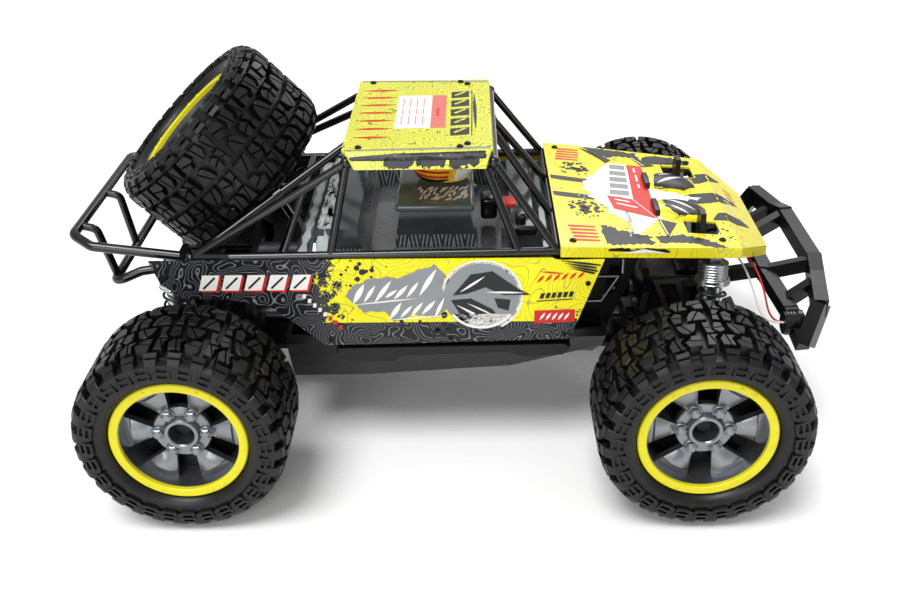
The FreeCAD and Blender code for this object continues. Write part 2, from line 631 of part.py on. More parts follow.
def chassis_tub():
    """Lower tub with its keel, sills, front fender frames and servo post."""
    stations = [(-96, 35.4, 42, 73), (-52, 35.7, 42.4, 73.5), (33, 41.5, 48, 75.5), (86, 55, 61.6, 77)]
    wall = size("tub_wall")
    shell = loft_solid([tub_section(*station, 0, 0) for station in stations])
    inner = [(-96 + wall,) + stations[0][1:], stations[1], stations[2], (86 - wall,) + stations[3][1:]]
    hollow = loft_solid([tub_section(*station, wall, 6) for station in inner])
    low = size("keel_bottom")
    keel = [(-165, low), (-188, low + 6), (-188, low + 9), (-164, low + 3), (152, low + 3),
            (180, low + 14), (182, low + 11), (153, low)]
    parts = [prism(keel, "xz", -19, 19)]
    parts.append(prism([(52, low), (65.2, low), (65.2, 96.6), (60, 96.6)], "xz", -12, 12))
    frame = [(64, 70), (79, 126), (105, 124), (98, 100), (86, 70)]
    gap = [(84, 92), (88, 115), (96, 114), (92, 98)]
    sill = [(-68, 66), (-60, 62.5), (-34, 62.5), (-30, 66), (30, 68), (40, 64.5), (62, 66), (66, 71),
            (62, 73), (-66, 71)]
    for side in (1, -1):
        fender = prism(frame, "xz", side * 57, side * 60)
        parts.append(fender.cut(prism(gap, "xz", side * 50, side * 70)))
        parts.append(prism(sill, "xz", side * 69, side * 76.5))
    shell = shell.cut(hollow)
    whole = shell.multiFuse(parts)
    tunnel = Part.makeCylinder(7.5, 60, Vector(-110, 0, size("shaft_height")), X_AXIS)
    nose = Part.makeCylinder(7.5, 45, Vector(48, 0, size("shaft_height")), X_AXIS)
    motor_room = Part.makeCylinder(20, 30, Vector(-110, 27, 68), X_AXIS)
    servo_room = prism([(78, 58), (92, 58), (92, 90), (78, 90)], "xz", -17, 17)
    whole = whole.cut([tunnel, nose, motor_room, servo_room])
    node(solid_feature("Chassis_tub", whole), "chassis_tub")


def roll_cage():
    """Tube cage: roof hoop, pillars, belt rails, rear stays and the spare's carrier."""
    thick, thin = size("tube_radius"), size("tube_radius") - 0.25
    tail, roof_rear, roof_front, cowl = (-145, 68, 125.5), (-56.5, 58, 177), (22.5, 59, 177), (57, 72.2, 130.0)
    rails = both_sides([[tail, (-122, 72.2, 128), cowl, (84, 66, 127.5)], [roof_rear, roof_front]])
    rails += [[(x, y, z), (x, -y, z)] for x, y, z in (roof_rear, roof_front, (-94, 72.2, 128.3), cowl)]
    stays = both_sides([
        [roof_rear, (-67, 72.2, 128.6)],
        [(17, 59, 176.9), (36, 72.2, 129.8)],
        [roof_front, cowl],
        [(22.5, 10, 177), (57, 25.6, 130.0)],
        [roof_rear, tail],
        [(-56.5, 25, 177), tail],
    ])
    lean = math.radians(size("spare_lean"))
    outward = Vector(-math.sin(lean), 0, math.cos(lean))
    centre = Vector(size("spare_x"), 0, size("spare_z"))
    foot = centre - outward * 42
    stays += [[(-94, y, 128.3), (foot.x, y / 5, foot.z)] for y in (24, -24)]
    pieces = [tube(run, thick) for run in rails] + [tube(run, thin) for run in stays]
    pieces += [Part.makeSphere(thick + 0.9, Vector(x, side * y, z))
               for x, y, z in (tail, roof_rear, roof_front) for side in (1, -1)]
    pieces.append(Part.makeCylinder(5, 44, foot - outward * 2, outward))
    pieces.append(Part.makeCylinder(11, 4, centre - outward * 1, outward))
    collar_ends = (Vector(-56.5, 25, 177), Vector(*tail))
    for side in (1, -1):
        top, low = [Vector(end.x, side * end.y, end.z) for end in collar_ends]
        pieces.append(Part.makeCylinder(3.5, 5, top + (low - top) * 0.44, low - top))
    node(solid_feature("Roll_cage", pieces[0].multiFuse(pieces[1:])), "roll_cage")


def rear_rack():
    """Tail frame of two loops joined by three bent struts."""
    upper = [(-151, 67, 126.5), (-200, 66, 132.5), (-212, 58, 135.8)]
    lower = [(-157.6, 42, 108), (-182, 46, 106), (-198, 50, 100.5)]
    loops = [run + [(x, -y, z) for x, y, z in reversed(run)] for run in (upper, lower)]
    struts = [[(-212, y, 135.8), (-203, y, 133.6), (-198, y * 0.88, 100.5)] for y in (46, 0, -46)]
    thick = size("rack_tube_radius")
    pieces = [tube(run, thick, 6.0) for run in loops] + [tube(run, thick - 0.4, 4.0) for run in struts]
    node(solid_feature("Rear_rack", pieces[0].multiFuse(pieces[1:])), "rear_rack")


def front_bumper():
    """Faceted bumper: upper beam with wings, lower beam, posts, lamps and two arms."""
    upper = [(211, 32, 101), (209, 46, 97.5), (203, 76, 96), (196, 84, 78)]
    pieces = [beam((211, -32, 101), (211, 32, 101), 8, 10)]
    lower = [(186, 24, 90), (192, 62, 84), (195, 82, 76)]
    pieces.append(beam((186, -24, 90), (186, 24, 90), 8, 9))
    for side in (1, -1):
        for run, depth in ((upper, 11), (lower, 8)):
            path = [(x, side * y, z) for x, y, z in run]
            pieces += [beam(start, end, 8, depth) for start, end in zip(path, path[1:])]
        pieces.append(beam((187, side * 24, 90), (210, side * 32, 100), 6, 8))
        pieces.append(beam((191, side * 52, 85), (208, side * 50, 97), 6, 7))
        pieces.append(beam((154, side * 15, 82), (187, side * 20, 90), 6, 8))
        pieces.append(Part.makeCylinder(6.5, 10, Vector(186, side * 70, 82), X_AXIS))
    whole = pieces[0].multiFuse(pieces[1:])
    node(solid_feature("Front_bumper", whole), "front_bumper")


# ---------------------------------------------------------------- body skins and cockpit

def roof_panel():
    """Roof skin with its sides turned down and its corners clipped."""
    skin, half = size("skin"), size("roof_half_width")
    rear, front, top = size("roof_rear"), size("roof_front"), size("roof_top")
    low = top - size("roof_drop")
    outside = [(half + 5, low), (half, top - 1.5), (half - 2, top)]
    inside = [(half + 5 - skin, low), (half - 1.1 * skin, top - 2), (half - 2.5, top - skin)]
    section = outside + [(-y, z) for y, z in reversed(outside)] + [(-y, z) for y, z in inside]
    section += list(reversed(inside))
    side = [(front, half - 4), (front - 2, half), (front - 4.4, half + 6)]
    side += [(rear + 8.2, half + 6), (rear + 3.5, half), (rear, half - 4)]
    plan = side + [(x, -y) for x, y in reversed(side)]
    skin_shape = prism(section, "yz", rear, front).common(prism(plan, "xy", low - 5, top + 5))
    node(solid_feature("Roof_panel", skin_shape), "roof_panel")


def hood_outline(inset):
    """Plan of the hood from its wide rear edge to its nose."""
    rear = size("hood_rear") - (20 if inset else 0)
    half = [(rear, 77 - inset), (size("hood_bend"), 64.5 - inset), (size("hood_nose") - inset, 36.3 - inset)]
    return half + [(x, -y) for x, y in reversed(half)]


def hood_profile(drop, tail):
    """Side view of the hood, lowered by drop, its lower line tail below its top."""
    stations = [(size("hood_rear"), size("hood_rear_z")), (size("hood_bend"), size("hood_bend_z")),
                (size("hood_nose"), size("hood_nose_z"))]
    first, last = stations[0], stations[-1]
    slope = (stations[1][1] - first[1]) / (stations[1][0] - first[0])
    back = [(first[0] - 30, first[1] - 30 * slope)] if drop else []
    ahead = [(last[0] + 20, last[1] - 12)] if drop else []
    line = [(x, z - drop) for x, z in back + stations + ahead]
    return line + [(x, z - tail) for x, z in reversed(line)]


def hood_panel():
    """Hood skin with folded hems and two openings for the front tower's horns."""
    skin = size("skin")
    outer = prism(hood_outline(0), "xy", 90, 150).common(
        prism(hood_profile(0, size("hood_hem")), "xz", -90, 90))
    inner = prism(hood_outline(skin), "xy", 80, 160).common(prism(hood_profile(skin, 30), "xz", -90, 90))
    shell = outer.cut(inner)
    for side in (1, -1):
        hole = prism([(132, 32), (151, 32), (151, 49), (132, 49)], "xy", 110, 150)
        if side < 0:
            hole = hole.mirror(Vector(), Y_AXIS)
        shell = shell.cut(hole)
    node(solid_feature("Hood_panel", shell), "hood_panel")


def side_panels():
    """The two flat side skins."""
    outline = [(-166.5, 127.8), (-162, 114), (-151, 104.3), (-125.6, 103.4), (-102.6, 99), (-87.5, 86),
               (-73.2, 73.1), (-2.4, 74.6), (63.9, 76.1), (67, 81.3), (82.3, 126.3), (57, 126.3), (54, 127.6)]
    skins = []
    for tag, side in (("left", 1), ("right", -1)):
        skin = plate(f"Side_{tag}", outline, "XZ_Plane", "skin")
        skin.Placement = Placement(Vector(0, side * (size("side_y") - size("skin") / 2), 0), Rotation())
        skins.append(skin)
    node(fused("Side_panels", *skins), "side_panels")


def cockpit_tray():
    """Moulded cockpit liner: rim, sunken floor, rear cover, seat block and dash."""
    def pan(low_x, high_x, half, low, high):
        taper = 3
        return loft_solid([[(low_x + taper, taper - half, low), (high_x - taper, taper - half, low),
                            (high_x - taper, half - taper, low), (low_x + taper, half - taper, low)],
                           [(low_x, -half, high), (high_x, -half, high),
                            (high_x, half, high), (low_x, half, high)]])

    def hump(low_x, high_x, half, high):
        taper, low = 5, 113.0
        return loft_solid([[(low_x, -half, low), (high_x, -half, low), (high_x, half, low),
                            (low_x, half, low)],
                           [(low_x + taper, taper - half, high), (high_x - taper, taper - half, high),
                            (high_x - taper, half - taper, high), (low_x + taper, half - taper, high)]])

    skin = size("skin")
    rim = prism([(-88, -69), (56, -69), (56, 69), (-88, 69)], "xy", 124.2, 125.4)
    bowl = pan(-83, 52, 62, 112, 125.4)
    room = pan(-83 + skin, 52 - skin, 62 - skin, 112 + skin, 127)
    humps = [(-82, -49, 58, 135), (-35, 14, 40, 141), (28, 51, 58, 133)]
    raised = [hump(*sizes) for sizes in humps]
    hollows = [hump(a + skin, b - skin, half - skin, top - skin) for a, b, half, top in humps]
    for hollow in hollows:
        hollow.translate(Vector(0, 0, -2 * skin))
    tray = rim.fuse(bowl).cut(room).multiFuse(raised).cut(hollows)
    node(solid_feature("Cockpit_tray", tray), "cockpit_tray")


def driver_figure():
    """Helmeted driver's head on its neck."""
    helmet = ball("Helmet", 19, (-8, 0, 160.2))
    chin = rod("Helmet_chin", 14, 10, (-4, 0, 151), "z")
    neck = rod("Neck", 7, 12, (-9, 0, 147), "z")
    node(fused("Driver_figure", helmet, chin, neck), "driver_figure")


def lamp_lead():
    """Free lead of the right lamp, from under the hood's nose to the back of the lamp."""
    route = [(163, -34, 112), (170, -42, 111), (177, -54, 98), (179, -69, 82), (186, -69, 82)]
    node(solid_feature("Lamp_lead", tube(route, size("lead_radius"), 3.0)), "lamp_lead")


def build():
    """Makes every sub-part."""
    corners = [("fl", "front_axle_x", 1, 1), ("fr", "front_axle_x", -1, 1),
               ("rl", "rear_axle_x", 1, -1), ("rr", "rear_axle_x", -1, -1)]
    for corner, axle, side, end in corners:
        axle_x = size(axle)
        wheel(corner, axle_x, side)
        lower_arm(corner, axle_x, side, end)
        upper_arm(corner, axle_x, side, end)
        hub_carrier(corner, axle_x, side, end > 0)
        halfshaft(corner, axle_x, side)
        shock(corner, axle_x, side, end)
        if end > 0:
            knuckle(corner, axle_x, side)
    gearbox("gearbox_front", size("front_axle_x"), 1)
    gearbox("gearbox_rear", size("rear_axle_x"), -1)
    shock_towers()
    centre_driveshaft()
    motor()
    electronics()
    steering_servo()
    servo_horn()
    steering_rack()
    tie_rod("tie_rod_left", 1)
    tie_rod("tie_rod_right", -1)
    chassis_tub()
    roll_cage()
    rear_rack()
    front_bumper()
    roof_panel()
    hood_panel()
    side_panels()
    cockpit_tray()
    driver_figure()
    spare_wheel()
    lamp_lead()


build()
doc.recompute()

os.makedirs("parts", exist_ok=True)
for item in doc.Objects:
    if "Invalid" in item.State or "Error" in item.State:
        raise RuntimeError(f"{item.Name} is in state {item.State}")
for item in nodes:
    if item.Shape.isNull() or not item.Shape.isValid():
        raise RuntimeError(f"{item.Label} has no valid shape")
for item in nodes:
    item.Shape.exportStep(f"parts/{item.Label}.step")
print(len(nodes), "sub-parts")
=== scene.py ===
"""Looks for an electric 1:10 off-road buggy: tyres, rims, dampers, printed shell, cockpit and lamps."""

import logging
import math
import random
from collections.abc import Callable, Iterable
from dataclasses import dataclass, field
from enum import Enum

import bmesh
import bpy
from mathutils import Matrix, Vector
from mathutils.bvhtree import BVHTree


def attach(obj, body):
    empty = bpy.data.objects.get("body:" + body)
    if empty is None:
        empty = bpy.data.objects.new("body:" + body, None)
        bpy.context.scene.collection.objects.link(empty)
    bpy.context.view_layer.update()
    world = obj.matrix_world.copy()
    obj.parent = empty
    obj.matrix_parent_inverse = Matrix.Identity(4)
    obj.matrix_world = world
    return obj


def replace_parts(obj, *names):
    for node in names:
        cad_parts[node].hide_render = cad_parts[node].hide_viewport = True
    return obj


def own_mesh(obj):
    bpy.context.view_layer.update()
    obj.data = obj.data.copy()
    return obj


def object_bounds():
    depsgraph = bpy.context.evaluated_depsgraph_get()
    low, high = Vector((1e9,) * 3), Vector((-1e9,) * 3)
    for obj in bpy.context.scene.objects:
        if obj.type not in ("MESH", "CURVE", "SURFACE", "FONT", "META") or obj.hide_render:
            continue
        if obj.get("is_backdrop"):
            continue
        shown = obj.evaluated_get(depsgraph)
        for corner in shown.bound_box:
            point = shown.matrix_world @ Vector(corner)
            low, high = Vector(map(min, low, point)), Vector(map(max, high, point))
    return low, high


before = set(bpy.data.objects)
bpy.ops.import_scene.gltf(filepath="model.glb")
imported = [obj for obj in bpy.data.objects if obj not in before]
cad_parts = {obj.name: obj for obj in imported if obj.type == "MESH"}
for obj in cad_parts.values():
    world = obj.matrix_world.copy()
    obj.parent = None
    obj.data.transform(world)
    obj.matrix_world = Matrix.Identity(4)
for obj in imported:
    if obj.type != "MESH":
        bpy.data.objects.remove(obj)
CAD_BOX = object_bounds()
LOG = logging.getLogger("buggy")

Outline = list[tuple[float, float]]
Spot = tuple[float, float, float]
MM = 0.001
CORNERS = ("fl", "fr", "rl", "rr")


class Slot(Enum):
    """Material slots that each finish names."""

    BLACK = "satin_black"
    GLOSS = "gloss_black"
    METAL = "bare_metal"
    SKIN = "yellow_skin"
    LINER = "dark_liner"
    HELMET = "helmet_yellow"
    RUBBER = "tyre_rubber"
    GUNMETAL = "gunmetal_plastic"
    RING = "ring_yellow"
    SPRING = "spring_black"
    LEAD = "lead_red"
    LENS = "lamp_clear"
    SCREW = "screw_black"


class Side(Enum):
    """The side that a panel is looked at from: two in-plane axes, the outward axis and its sign."""

    TOP = (0, 1, 2, 1)
    LEFT = (0, 2, 1, 1)
    RIGHT = (0, 2, 1, -1)


# ---------------------------------------------------------------- materials

def linear(colour: str) -> tuple[float, float, float, float]:
    """Turns an sRGB hex colour into linear light.

    Args:
        colour: Six hex digits after a hash.

    Returns:
        Red, green, blue and alpha.
    """
    parts = [int(colour[i:i + 2], 16) / 255 for i in (1, 3, 5)]
    light = [c / 12.92 if c <= 0.04045 else ((c + 0.055) / 1.055) ** 2.4 for c in parts]
    return (*light, 1.0)


def per_mm(spacing: float) -> float:
    """Texture scale, in cycles per metre, of a pattern that repeats each so many millimetres."""
    return 1.0 / (spacing * MM)


def add(tree: bpy.types.NodeTree, kind: str, inputs: dict | None = None,
        **options: object) -> bpy.types.Node:
    """Adds a node with its settings and links.

    Args:
        tree: The material's node tree.
        kind: The node type, without its ShaderNode prefix.
        inputs: A number, colour or other node's output for each input, by name or place.
        options: Settings of the node itself.

    Returns:
        The new node.
    """
    shader = tree.nodes.new(f"ShaderNode{kind}")
    for option, value in options.items():
        setattr(shader, option, value)
    for socket, value in (inputs or {}).items():
        if isinstance(value, bpy.types.NodeSocket):
            tree.links.new(value, shader.inputs[socket])
        else:
            shader.inputs[socket].default_value = value
    return shader


@dataclass(frozen=True)
class Finish:
    """A real material and the way its surface was made, as light meets it."""

    name: str
    slot: Slot
    colour: str
    drift: str
    roughness: float
    metallic: float = 0.0
    ior: float = 1.5
    coat: float = 0.0
    grain: float = 0.5
    depth: float = 0.02
    cloud: float = 14.0

    def pattern(self, tree: bpy.types.NodeTree, place: bpy.types.NodeSocket,
                colour: bpy.types.NodeSocket) -> bpy.types.NodeSocket:
        """Lays a printed pattern over the ground colour; a plain finish has none.

        Args:
            tree: The material's node tree.
            place: Coordinates in metres.
            colour: The ground colour.

        Returns:
            The colour that the surface shows.
        """
        return colour

    def material(self) -> bpy.types.Material:
        """Builds the material once and hands the same one out after that."""
        found = bpy.data.materials.get(self.name)
        if found:
            return found
        material = bpy.data.materials.new(self.name)
        material.use_nodes = True
        tree = material.node_tree
        tree.nodes.clear()
        place = add(tree, "TexCoord").outputs["Object"]
        cloud = add(tree, "TexNoise", {"Vector": place, "Scale": per_mm(self.cloud), "Detail": 4.0})
        tone = add(tree, "Mix", {"Factor": cloud.outputs[0], 6: linear(self.colour), 7: linear(self.drift)},
                   data_type="RGBA")
        grain = add(tree, "TexNoise", {"Vector": place, "Scale": per_mm(self.grain), "Detail": 3.0})
        bump = add(tree, "Bump", {"Height": grain.outputs[0], "Distance": self.depth * MM, "Strength": 1.0})
        gloss = add(tree, "MapRange", {"Value": cloud.outputs[0], "To Min": self.roughness * 0.8,
                                       "To Max": min(1.0, self.roughness * 1.2)})
        shader = add(tree, "BsdfPrincipled", {
            "Base Color": self.pattern(tree, place, tone.outputs[2]), "Metallic": self.metallic,
            "Roughness": gloss.outputs[0], "IOR": self.ior, "Coat Weight": self.coat,
            "Coat Roughness": 0.08, "Normal": bump.outputs[0]})
        output = add(tree, "OutputMaterial", {"Surface": shader.outputs[0]})
        output.is_active_output = True
        return material


@dataclass(frozen=True)
class PaintedShell(Finish):
    """Clear polycarbonate painted inside, printed with map lines, hatching and a torn black area."""

    line: str = "#a8b23c"
    line_share: float = 0.10
    line_gap: float = 30.0
    line_steps: float = 22.0
    hatch: str = "#d9c93a"
    hatch_gap: float = 2.2
    hatch_share: float = 0.22
    hatch_patch: float = 22.0
    dark: str = "#15161a"
    dark_line: str = "#7b7f82"
    dark_gap: float = 16.0
    dark_share: float = 0.16
    tear_size: float = 9.0
    tear_reach: float = 22.0
    dark_behind: float | None = None
    dark_below: float | None = None

    def contours(self, tree: bpy.types.NodeTree, place: bpy.types.NodeSocket, gap: float,
                 share: float) -> bpy.types.NodeSocket:
        """Map lines: thin bands at equal steps of a soft noise.

        Args:
            tree: The material's node tree.
            place: Coordinates in metres.
            gap: Size of the hills in millimetres.
            share: Part of each step that the line takes.

        Returns:
            A mask that is 1 on the lines.
        """
        hills = add(tree, "TexNoise", {"Vector": place, "Scale": per_mm(gap), "Detail": 1.0})
        steps = add(tree, "Math", {0: hills.outputs[0], 1: self.line_steps}, operation="MULTIPLY")
        step = add(tree, "Math", {0: steps.outputs[0]}, operation="FRACT")
        return add(tree, "Math", {0: step.outputs[0], 1: share}, operation="LESS_THAN").outputs[0]

    def pattern(self, tree: bpy.types.NodeTree, place: bpy.types.NodeSocket,
                colour: bpy.types.NodeSocket) -> bpy.types.NodeSocket:
        """Lays map lines, hatching and the torn black area over the yellow.

        Args:
            tree: The material's node tree.
            place: Coordinates in metres.
            colour: The ground colour.

        Returns:
            The printed colour.
        """
        slope = per_mm(self.hatch_gap)
        along = add(tree, "VectorMath", {0: place, 1: (slope, -slope, slope)}, operation="DOT_PRODUCT")
        ridge = add(tree, "Math", {0: along.outputs[1]}, operation="FRACT")
        hatched = add(tree, "Math", {0: ridge.outputs[0], 1: self.hatch_share}, operation="LESS_THAN")
        soft = add(tree, "TexNoise", {"Vector": place, "Scale": per_mm(self.hatch_patch), "Detail": 2.0})
        where = add(tree, "Math", {0: soft.outputs[0], 1: 0.5}, operation="GREATER_THAN")
        both = add(tree, "Math", {0: hatched.outputs[0], 1: where.outputs[0]}, operation="MULTIPLY")
        colour = add(tree, "Mix", {"Factor": both.outputs[0], 6: colour, 7: linear(self.hatch)},
                     data_type="RGBA").outputs[2]
        lines = self.contours(tree, place, self.line_gap, self.line_share)
        colour = add(tree, "Mix", {"Factor": lines, 6: colour, 7: linear(self.line)},
                     data_type="RGBA").outputs[2]
        if self.dark_behind is None:
            return colour
        return self.torn_dark(tree, place, colour)

    def torn_dark(self, tree: bpy.types.NodeTree, place: bpy.types.NodeSocket,
                  colour: bpy.types.NodeSocket) -> bpy.types.NodeSocket:
        """Paints the rear and the foot of a panel black, with a torn edge and flecks.

        Args:
            tree: The material's node tree.
            place: Coordinates in metres.
            colour: The colour under the black.

        Returns:
            The printed colour.
        """
        axes = add(tree, "SeparateXYZ", {0: place})
        tear = add(tree, "TexNoise",
                   {"Vector": place, "Scale": per_mm(self.tear_size), "Detail": 7.0, "Roughness": 0.75})
        shift = add(tree, "MapRange", {"Value": tear.outputs[0], "From Min": 0.25, "From Max": 0.75,
                                       "To Min": -self.tear_reach * MM, "To Max": self.tear_reach * MM})
        edge = add(tree, "Math", {0: axes.outputs[0], 1: shift.outputs[0]}, operation="ADD")
        behind = add(tree, "Math", {0: edge.outputs[0], 1: self.dark_behind * MM}, operation="LESS_THAN")
        low = add(tree, "Math", {0: axes.outputs[2], 1: self.dark_below * MM}, operation="LESS_THAN")
        dark = add(tree, "Math", {0: behind.outputs[0], 1: low.outputs[0]}, operation="MAXIMUM")
        worm = self.contours(tree, place, self.dark_gap, self.dark_share)
        ink = add(tree, "Mix", {"Factor": worm, 6: linear(self.dark), 7: linear(self.dark_line)},
                  data_type="RGBA")
        return add(tree, "Mix", {"Factor": dark.outputs[0], 6: colour, 7: ink.outputs[2]},
                   data_type="RGBA").outputs[2]


@dataclass(frozen=True)
class ChevronLiner(Finish):
    """Vacuum-formed ABS whose lowest parts carry a fine printed herringbone."""

    stripe: str = "#8d9296"
    stripe_gap: float = 2.3
    stripe_share: float = 0.4
    fold_width: float = 6.5
    below: float = 124.0

    def pattern(self, tree: bpy.types.NodeTree, place: bpy.types.NodeSocket,
                colour: bpy.types.NodeSocket) -> bpy.types.NodeSocket:
        """Lays zigzag stripes on everything under a height.

        Args:
            tree: The material's node tree.
            place: Coordinates in metres.
            colour: The ground colour.

        Returns:
            The printed colour.
        """
        axes = add(tree, "SeparateXYZ", {0: place})
        fold = add(tree, "Math", {0: axes.outputs[0], 1: self.fold_width * MM}, operation="PINGPONG")
        bent = add(tree, "Math", {0: axes.outputs[1], 1: fold.outputs[0]}, operation="ADD")
        count = add(tree, "Math", {0: bent.outputs[0], 1: per_mm(self.stripe_gap)}, operation="MULTIPLY")
        ridge = add(tree, "Math", {0: count.outputs[0]}, operation="FRACT")
        stripe = add(tree, "Math", {0: ridge.outputs[0], 1: self.stripe_share}, operation="LESS_THAN")
        low = add(tree, "Math", {0: axes.outputs[2], 1: self.below * MM}, operation="LESS_THAN")
        mask = add(tree, "Math", {0: stripe.outputs[0], 1: low.outputs[0]}, operation="MULTIPLY")
        return add(tree, "Mix", {"Factor": mask.outputs[0], 6: colour, 7: linear(self.stripe)},
                   data_type="RGBA").outputs[2]


# Moulded tyre rubber: dead black in the grooves, with a grey bloom that scatters highlights.
RUBBER = Finish("moulded_rubber", Slot.RUBBER, "#050607", "#0e0f11", 0.40, ior=1.42, grain=0.35, depth=0.03)
# Glass-filled nylon, injection moulded: black with a satin sheen and a fine spark-eroded grain.
NYLON = Finish("moulded_nylon", Slot.BLACK, "#040506", "#0a0b0d", 0.36, ior=1.4, grain=0.45, depth=0.018)
# Gloss ABS, moulded against a polished tool: black with sharp reflections.
GLOSS_ABS = Finish("polished_abs", Slot.GLOSS, "#040405", "#08090a", 0.22, ior=1.5, coat=0.2, depth=0.004)
# Metallised ABS: a dark grey satin that brightens along the light.
GUNMETAL = Finish("metallised_abs", Slot.GUNMETAL, "#7d8085", "#96999d", 0.30, metallic=0.9, grain=0.3,
                  depth=0.008)
# Dyed nylon, moulded: an even lemon yellow with a low sheen.
DYED_NYLON = Finish("dyed_nylon", Slot.RING, "#e6dd12", "#d6cc0e", 0.36, depth=0.008)
# Anodised aluminium, turned: bright silver with fine turning marks.
ALUMINIUM = Finish("turned_aluminium", Slot.METAL, "#c6c9cc", "#aeb2b6", 0.28, metallic=1.0, grain=0.25,
                   depth=0.006)
# Zinc-plated steel, bright-dipped: a cool grey that mirrors its surroundings softly.
ZINC_STEEL = Finish("zinc_plated_steel", Slot.METAL, "#9b9fa3", "#b9bcc0", 0.32, metallic=1.0, depth=0.004)
# Oxide-blackened steel, rolled thread: near-black screw heads with a metal glint.
BLACK_STEEL = Finish("blackened_steel", Slot.SCREW, "#1a1b1d", "#26272a", 0.34, metallic=0.7, depth=0.004)
# Spring steel, powder coated: even black with a slight orange-peel.
SPRING_STEEL = Finish("coated_spring_steel", Slot.SPRING, "#101113", "#1c1d20", 0.34, grain=0.6, depth=0.01)
# Polycarbonate shell painted from inside: deep yellow under a clear, glossy outer face.
SHELL = PaintedShell("painted_polycarbonate", Slot.SKIN, "#efe21a", "#e6d810", 0.26, ior=1.45, coat=0.15,
                     depth=0.004)
# The same shell on the roof: paler yellow with closer, greener map lines.
ROOF_SHELL = PaintedShell("painted_polycarbonate_roof", Slot.SKIN, "#e6e44a", "#dbda36", 0.26, ior=1.45,
                          coat=0.15,
                          depth=0.004, line="#7f8f30", line_share=0.2, line_gap=16.0, hatch="#cfd03c")
# The same shell at the flanks: black behind and below, torn into the yellow.
FLANK_SHELL = PaintedShell("painted_polycarbonate_flank", Slot.SKIN, "#f8ee12", "#efe30c", 0.30, ior=1.38,
                           depth=0.004, dark_behind=-66.0, dark_below=88.0)
# Vacuum-formed ABS, unpainted side out: glossy grey-black with soft moulded edges.
LINER = ChevronLiner("vacuum_formed_abs", Slot.LINER, "#15181a", "#4b5254", 0.14, ior=1.5, coat=0.3,
                     depth=0.004)
# The same ABS without its print: a clean grey gloss.
SEAT_SHELL = Finish("vacuum_formed_abs_plain", Slot.LINER, "#4a5452", "#5b6563", 0.14, ior=1.5, coat=0.3,
                    depth=0.004)
# Screen-printed inks on vinyl film: flat, even colours with a low gloss.
INK_RED = Finish("red_vinyl", Slot.SKIN, "#d4281f", "#c41f1a", 0.35, ior=1.4, depth=0.003)
INK_PINK = Finish("rose_vinyl", Slot.SKIN, "#d9736b", "#cf625c", 0.35, depth=0.003)
INK_WHITE = Finish("white_vinyl", Slot.SKIN, "#f4f2ee", "#e6e3de", 0.35, depth=0.003)
INK_GREY = Finish("grey_vinyl", Slot.SKIN, "#8e9294", "#7b8083", 0.35, depth=0.003)
INK_DARK = Finish("charcoal_vinyl", Slot.SKIN, "#101215", "#1c1f23", 0.34, ior=1.42, depth=0.003)
# Bare polycarbonate flange, clear plastic over white: its pale, glassy grey is painted reflection of the
# white light that the clear band mirrors.
PALE_REFLECTION_FILM = Finish("bare_polycarbonate", Slot.LINER, "#b4babb", "#c6cbcb", 0.12, coat=0.8, depth=0.002)
# Sprayed lacquer on ABS: saturated helmet yellow under a hard, mirror-clear coat.
HELMET = Finish("sprayed_lacquer", Slot.HELMET, "#f0c51e", "#e8b818", 0.2, coat=1.0, depth=0.003)
# Tinted polycarbonate visor: near-black and mirror-smooth.
VISOR = Finish("tinted_visor", Slot.GLOSS, "#08090b", "#101216", 0.08, ior=1.58, coat=1.0, depth=0.002)
# Moulded acrylic lens: a pale, bright disc over a reflector.
LENS = Finish("moulded_acrylic", Slot.LENS, "#cfd6da", "#eef2f4", 0.08, ior=1.49, coat=1.0, grain=1.2,
              depth=0.05)
# PVC lead insulation, extruded: smooth, slightly waxy colour.
LEAD_PVC = Finish("extruded_pvc", Slot.LEAD, "#c5281f", "#a81f1a", 0.34, depth=0.003)
LEAD_PALE = Finish("extruded_pvc_pale", Slot.LEAD, "#e9e7e0", "#d5d2ca", 0.34, depth=0.003)
# Painted wall and floor of a studio: matt and nearly white.
BACKDROP = Finish("studio_floor_paint", Slot.SKIN, "#fbfbfb", "#f6f6f6", 0.8, grain=2.0, depth=0.01,
                  cloud=300.0)


# ---------------------------------------------------------------- mesh making

def publish(name: str, mesh: bmesh.types.BMesh, finish: Finish, body: str | None,
            place: Matrix | None = None, crease: float = 32.0) -> bpy.types.Object:
    """Turns a mesh drawn in millimetres into a dressed piece on its body.

    Args:
        name: The piece's name.
        mesh: The mesh, freed here.
        finish: What it is made of.
        body: The CAD body it rides on, or None for the floor.
        place: Where it goes, in millimetres.
        crease: Edges sharper than this many degrees stay sharp.

    Returns:
        The new object.
    """
    bmesh.ops.recalc_face_normals(mesh, faces=mesh.faces)
    mesh.transform(Matrix.Scale(MM, 4) @ (place or Matrix()))
    data = bpy.data.meshes.new(name)
    mesh.to_mesh(data)
    mesh.free()
    data.shade_smooth()
    data.set_sharp_from_angle(angle=math.radians(crease))
    data.materials.append(finish.material())
    piece = bpy.data.objects.new(name, data)
    bpy.context.scene.collection.objects.link(piece)
    if body:
        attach(piece, body)
        LOG.info("%s rides on %s", name, body)
    return piece


def skin(mesh: bmesh.types.BMesh, rings: list[list[Vector]], closed: bool = False) -> None:
    """Joins rings of equal length with faces; open runs of rings get a cap at each end.

    Args:
        mesh: The mesh to add to.
        rings: Rings of points, in order.
        closed: Whether the last ring joins the first.
    """
    rows = [[mesh.verts.new(point) for point in ring] for ring in rings]
    pairs = list(zip(rows, rows[1:])) + ([(rows[-1], rows[0])] if closed else [])
    for one, two in pairs:
        for i in range(len(one)):
            j = (i + 1) % len(one)
            mesh.faces.new((one[i], one[j], two[j], two[i]))
    if not closed:
        mesh.faces.new(rows[0][::-1])
        mesh.faces.new(rows[-1])


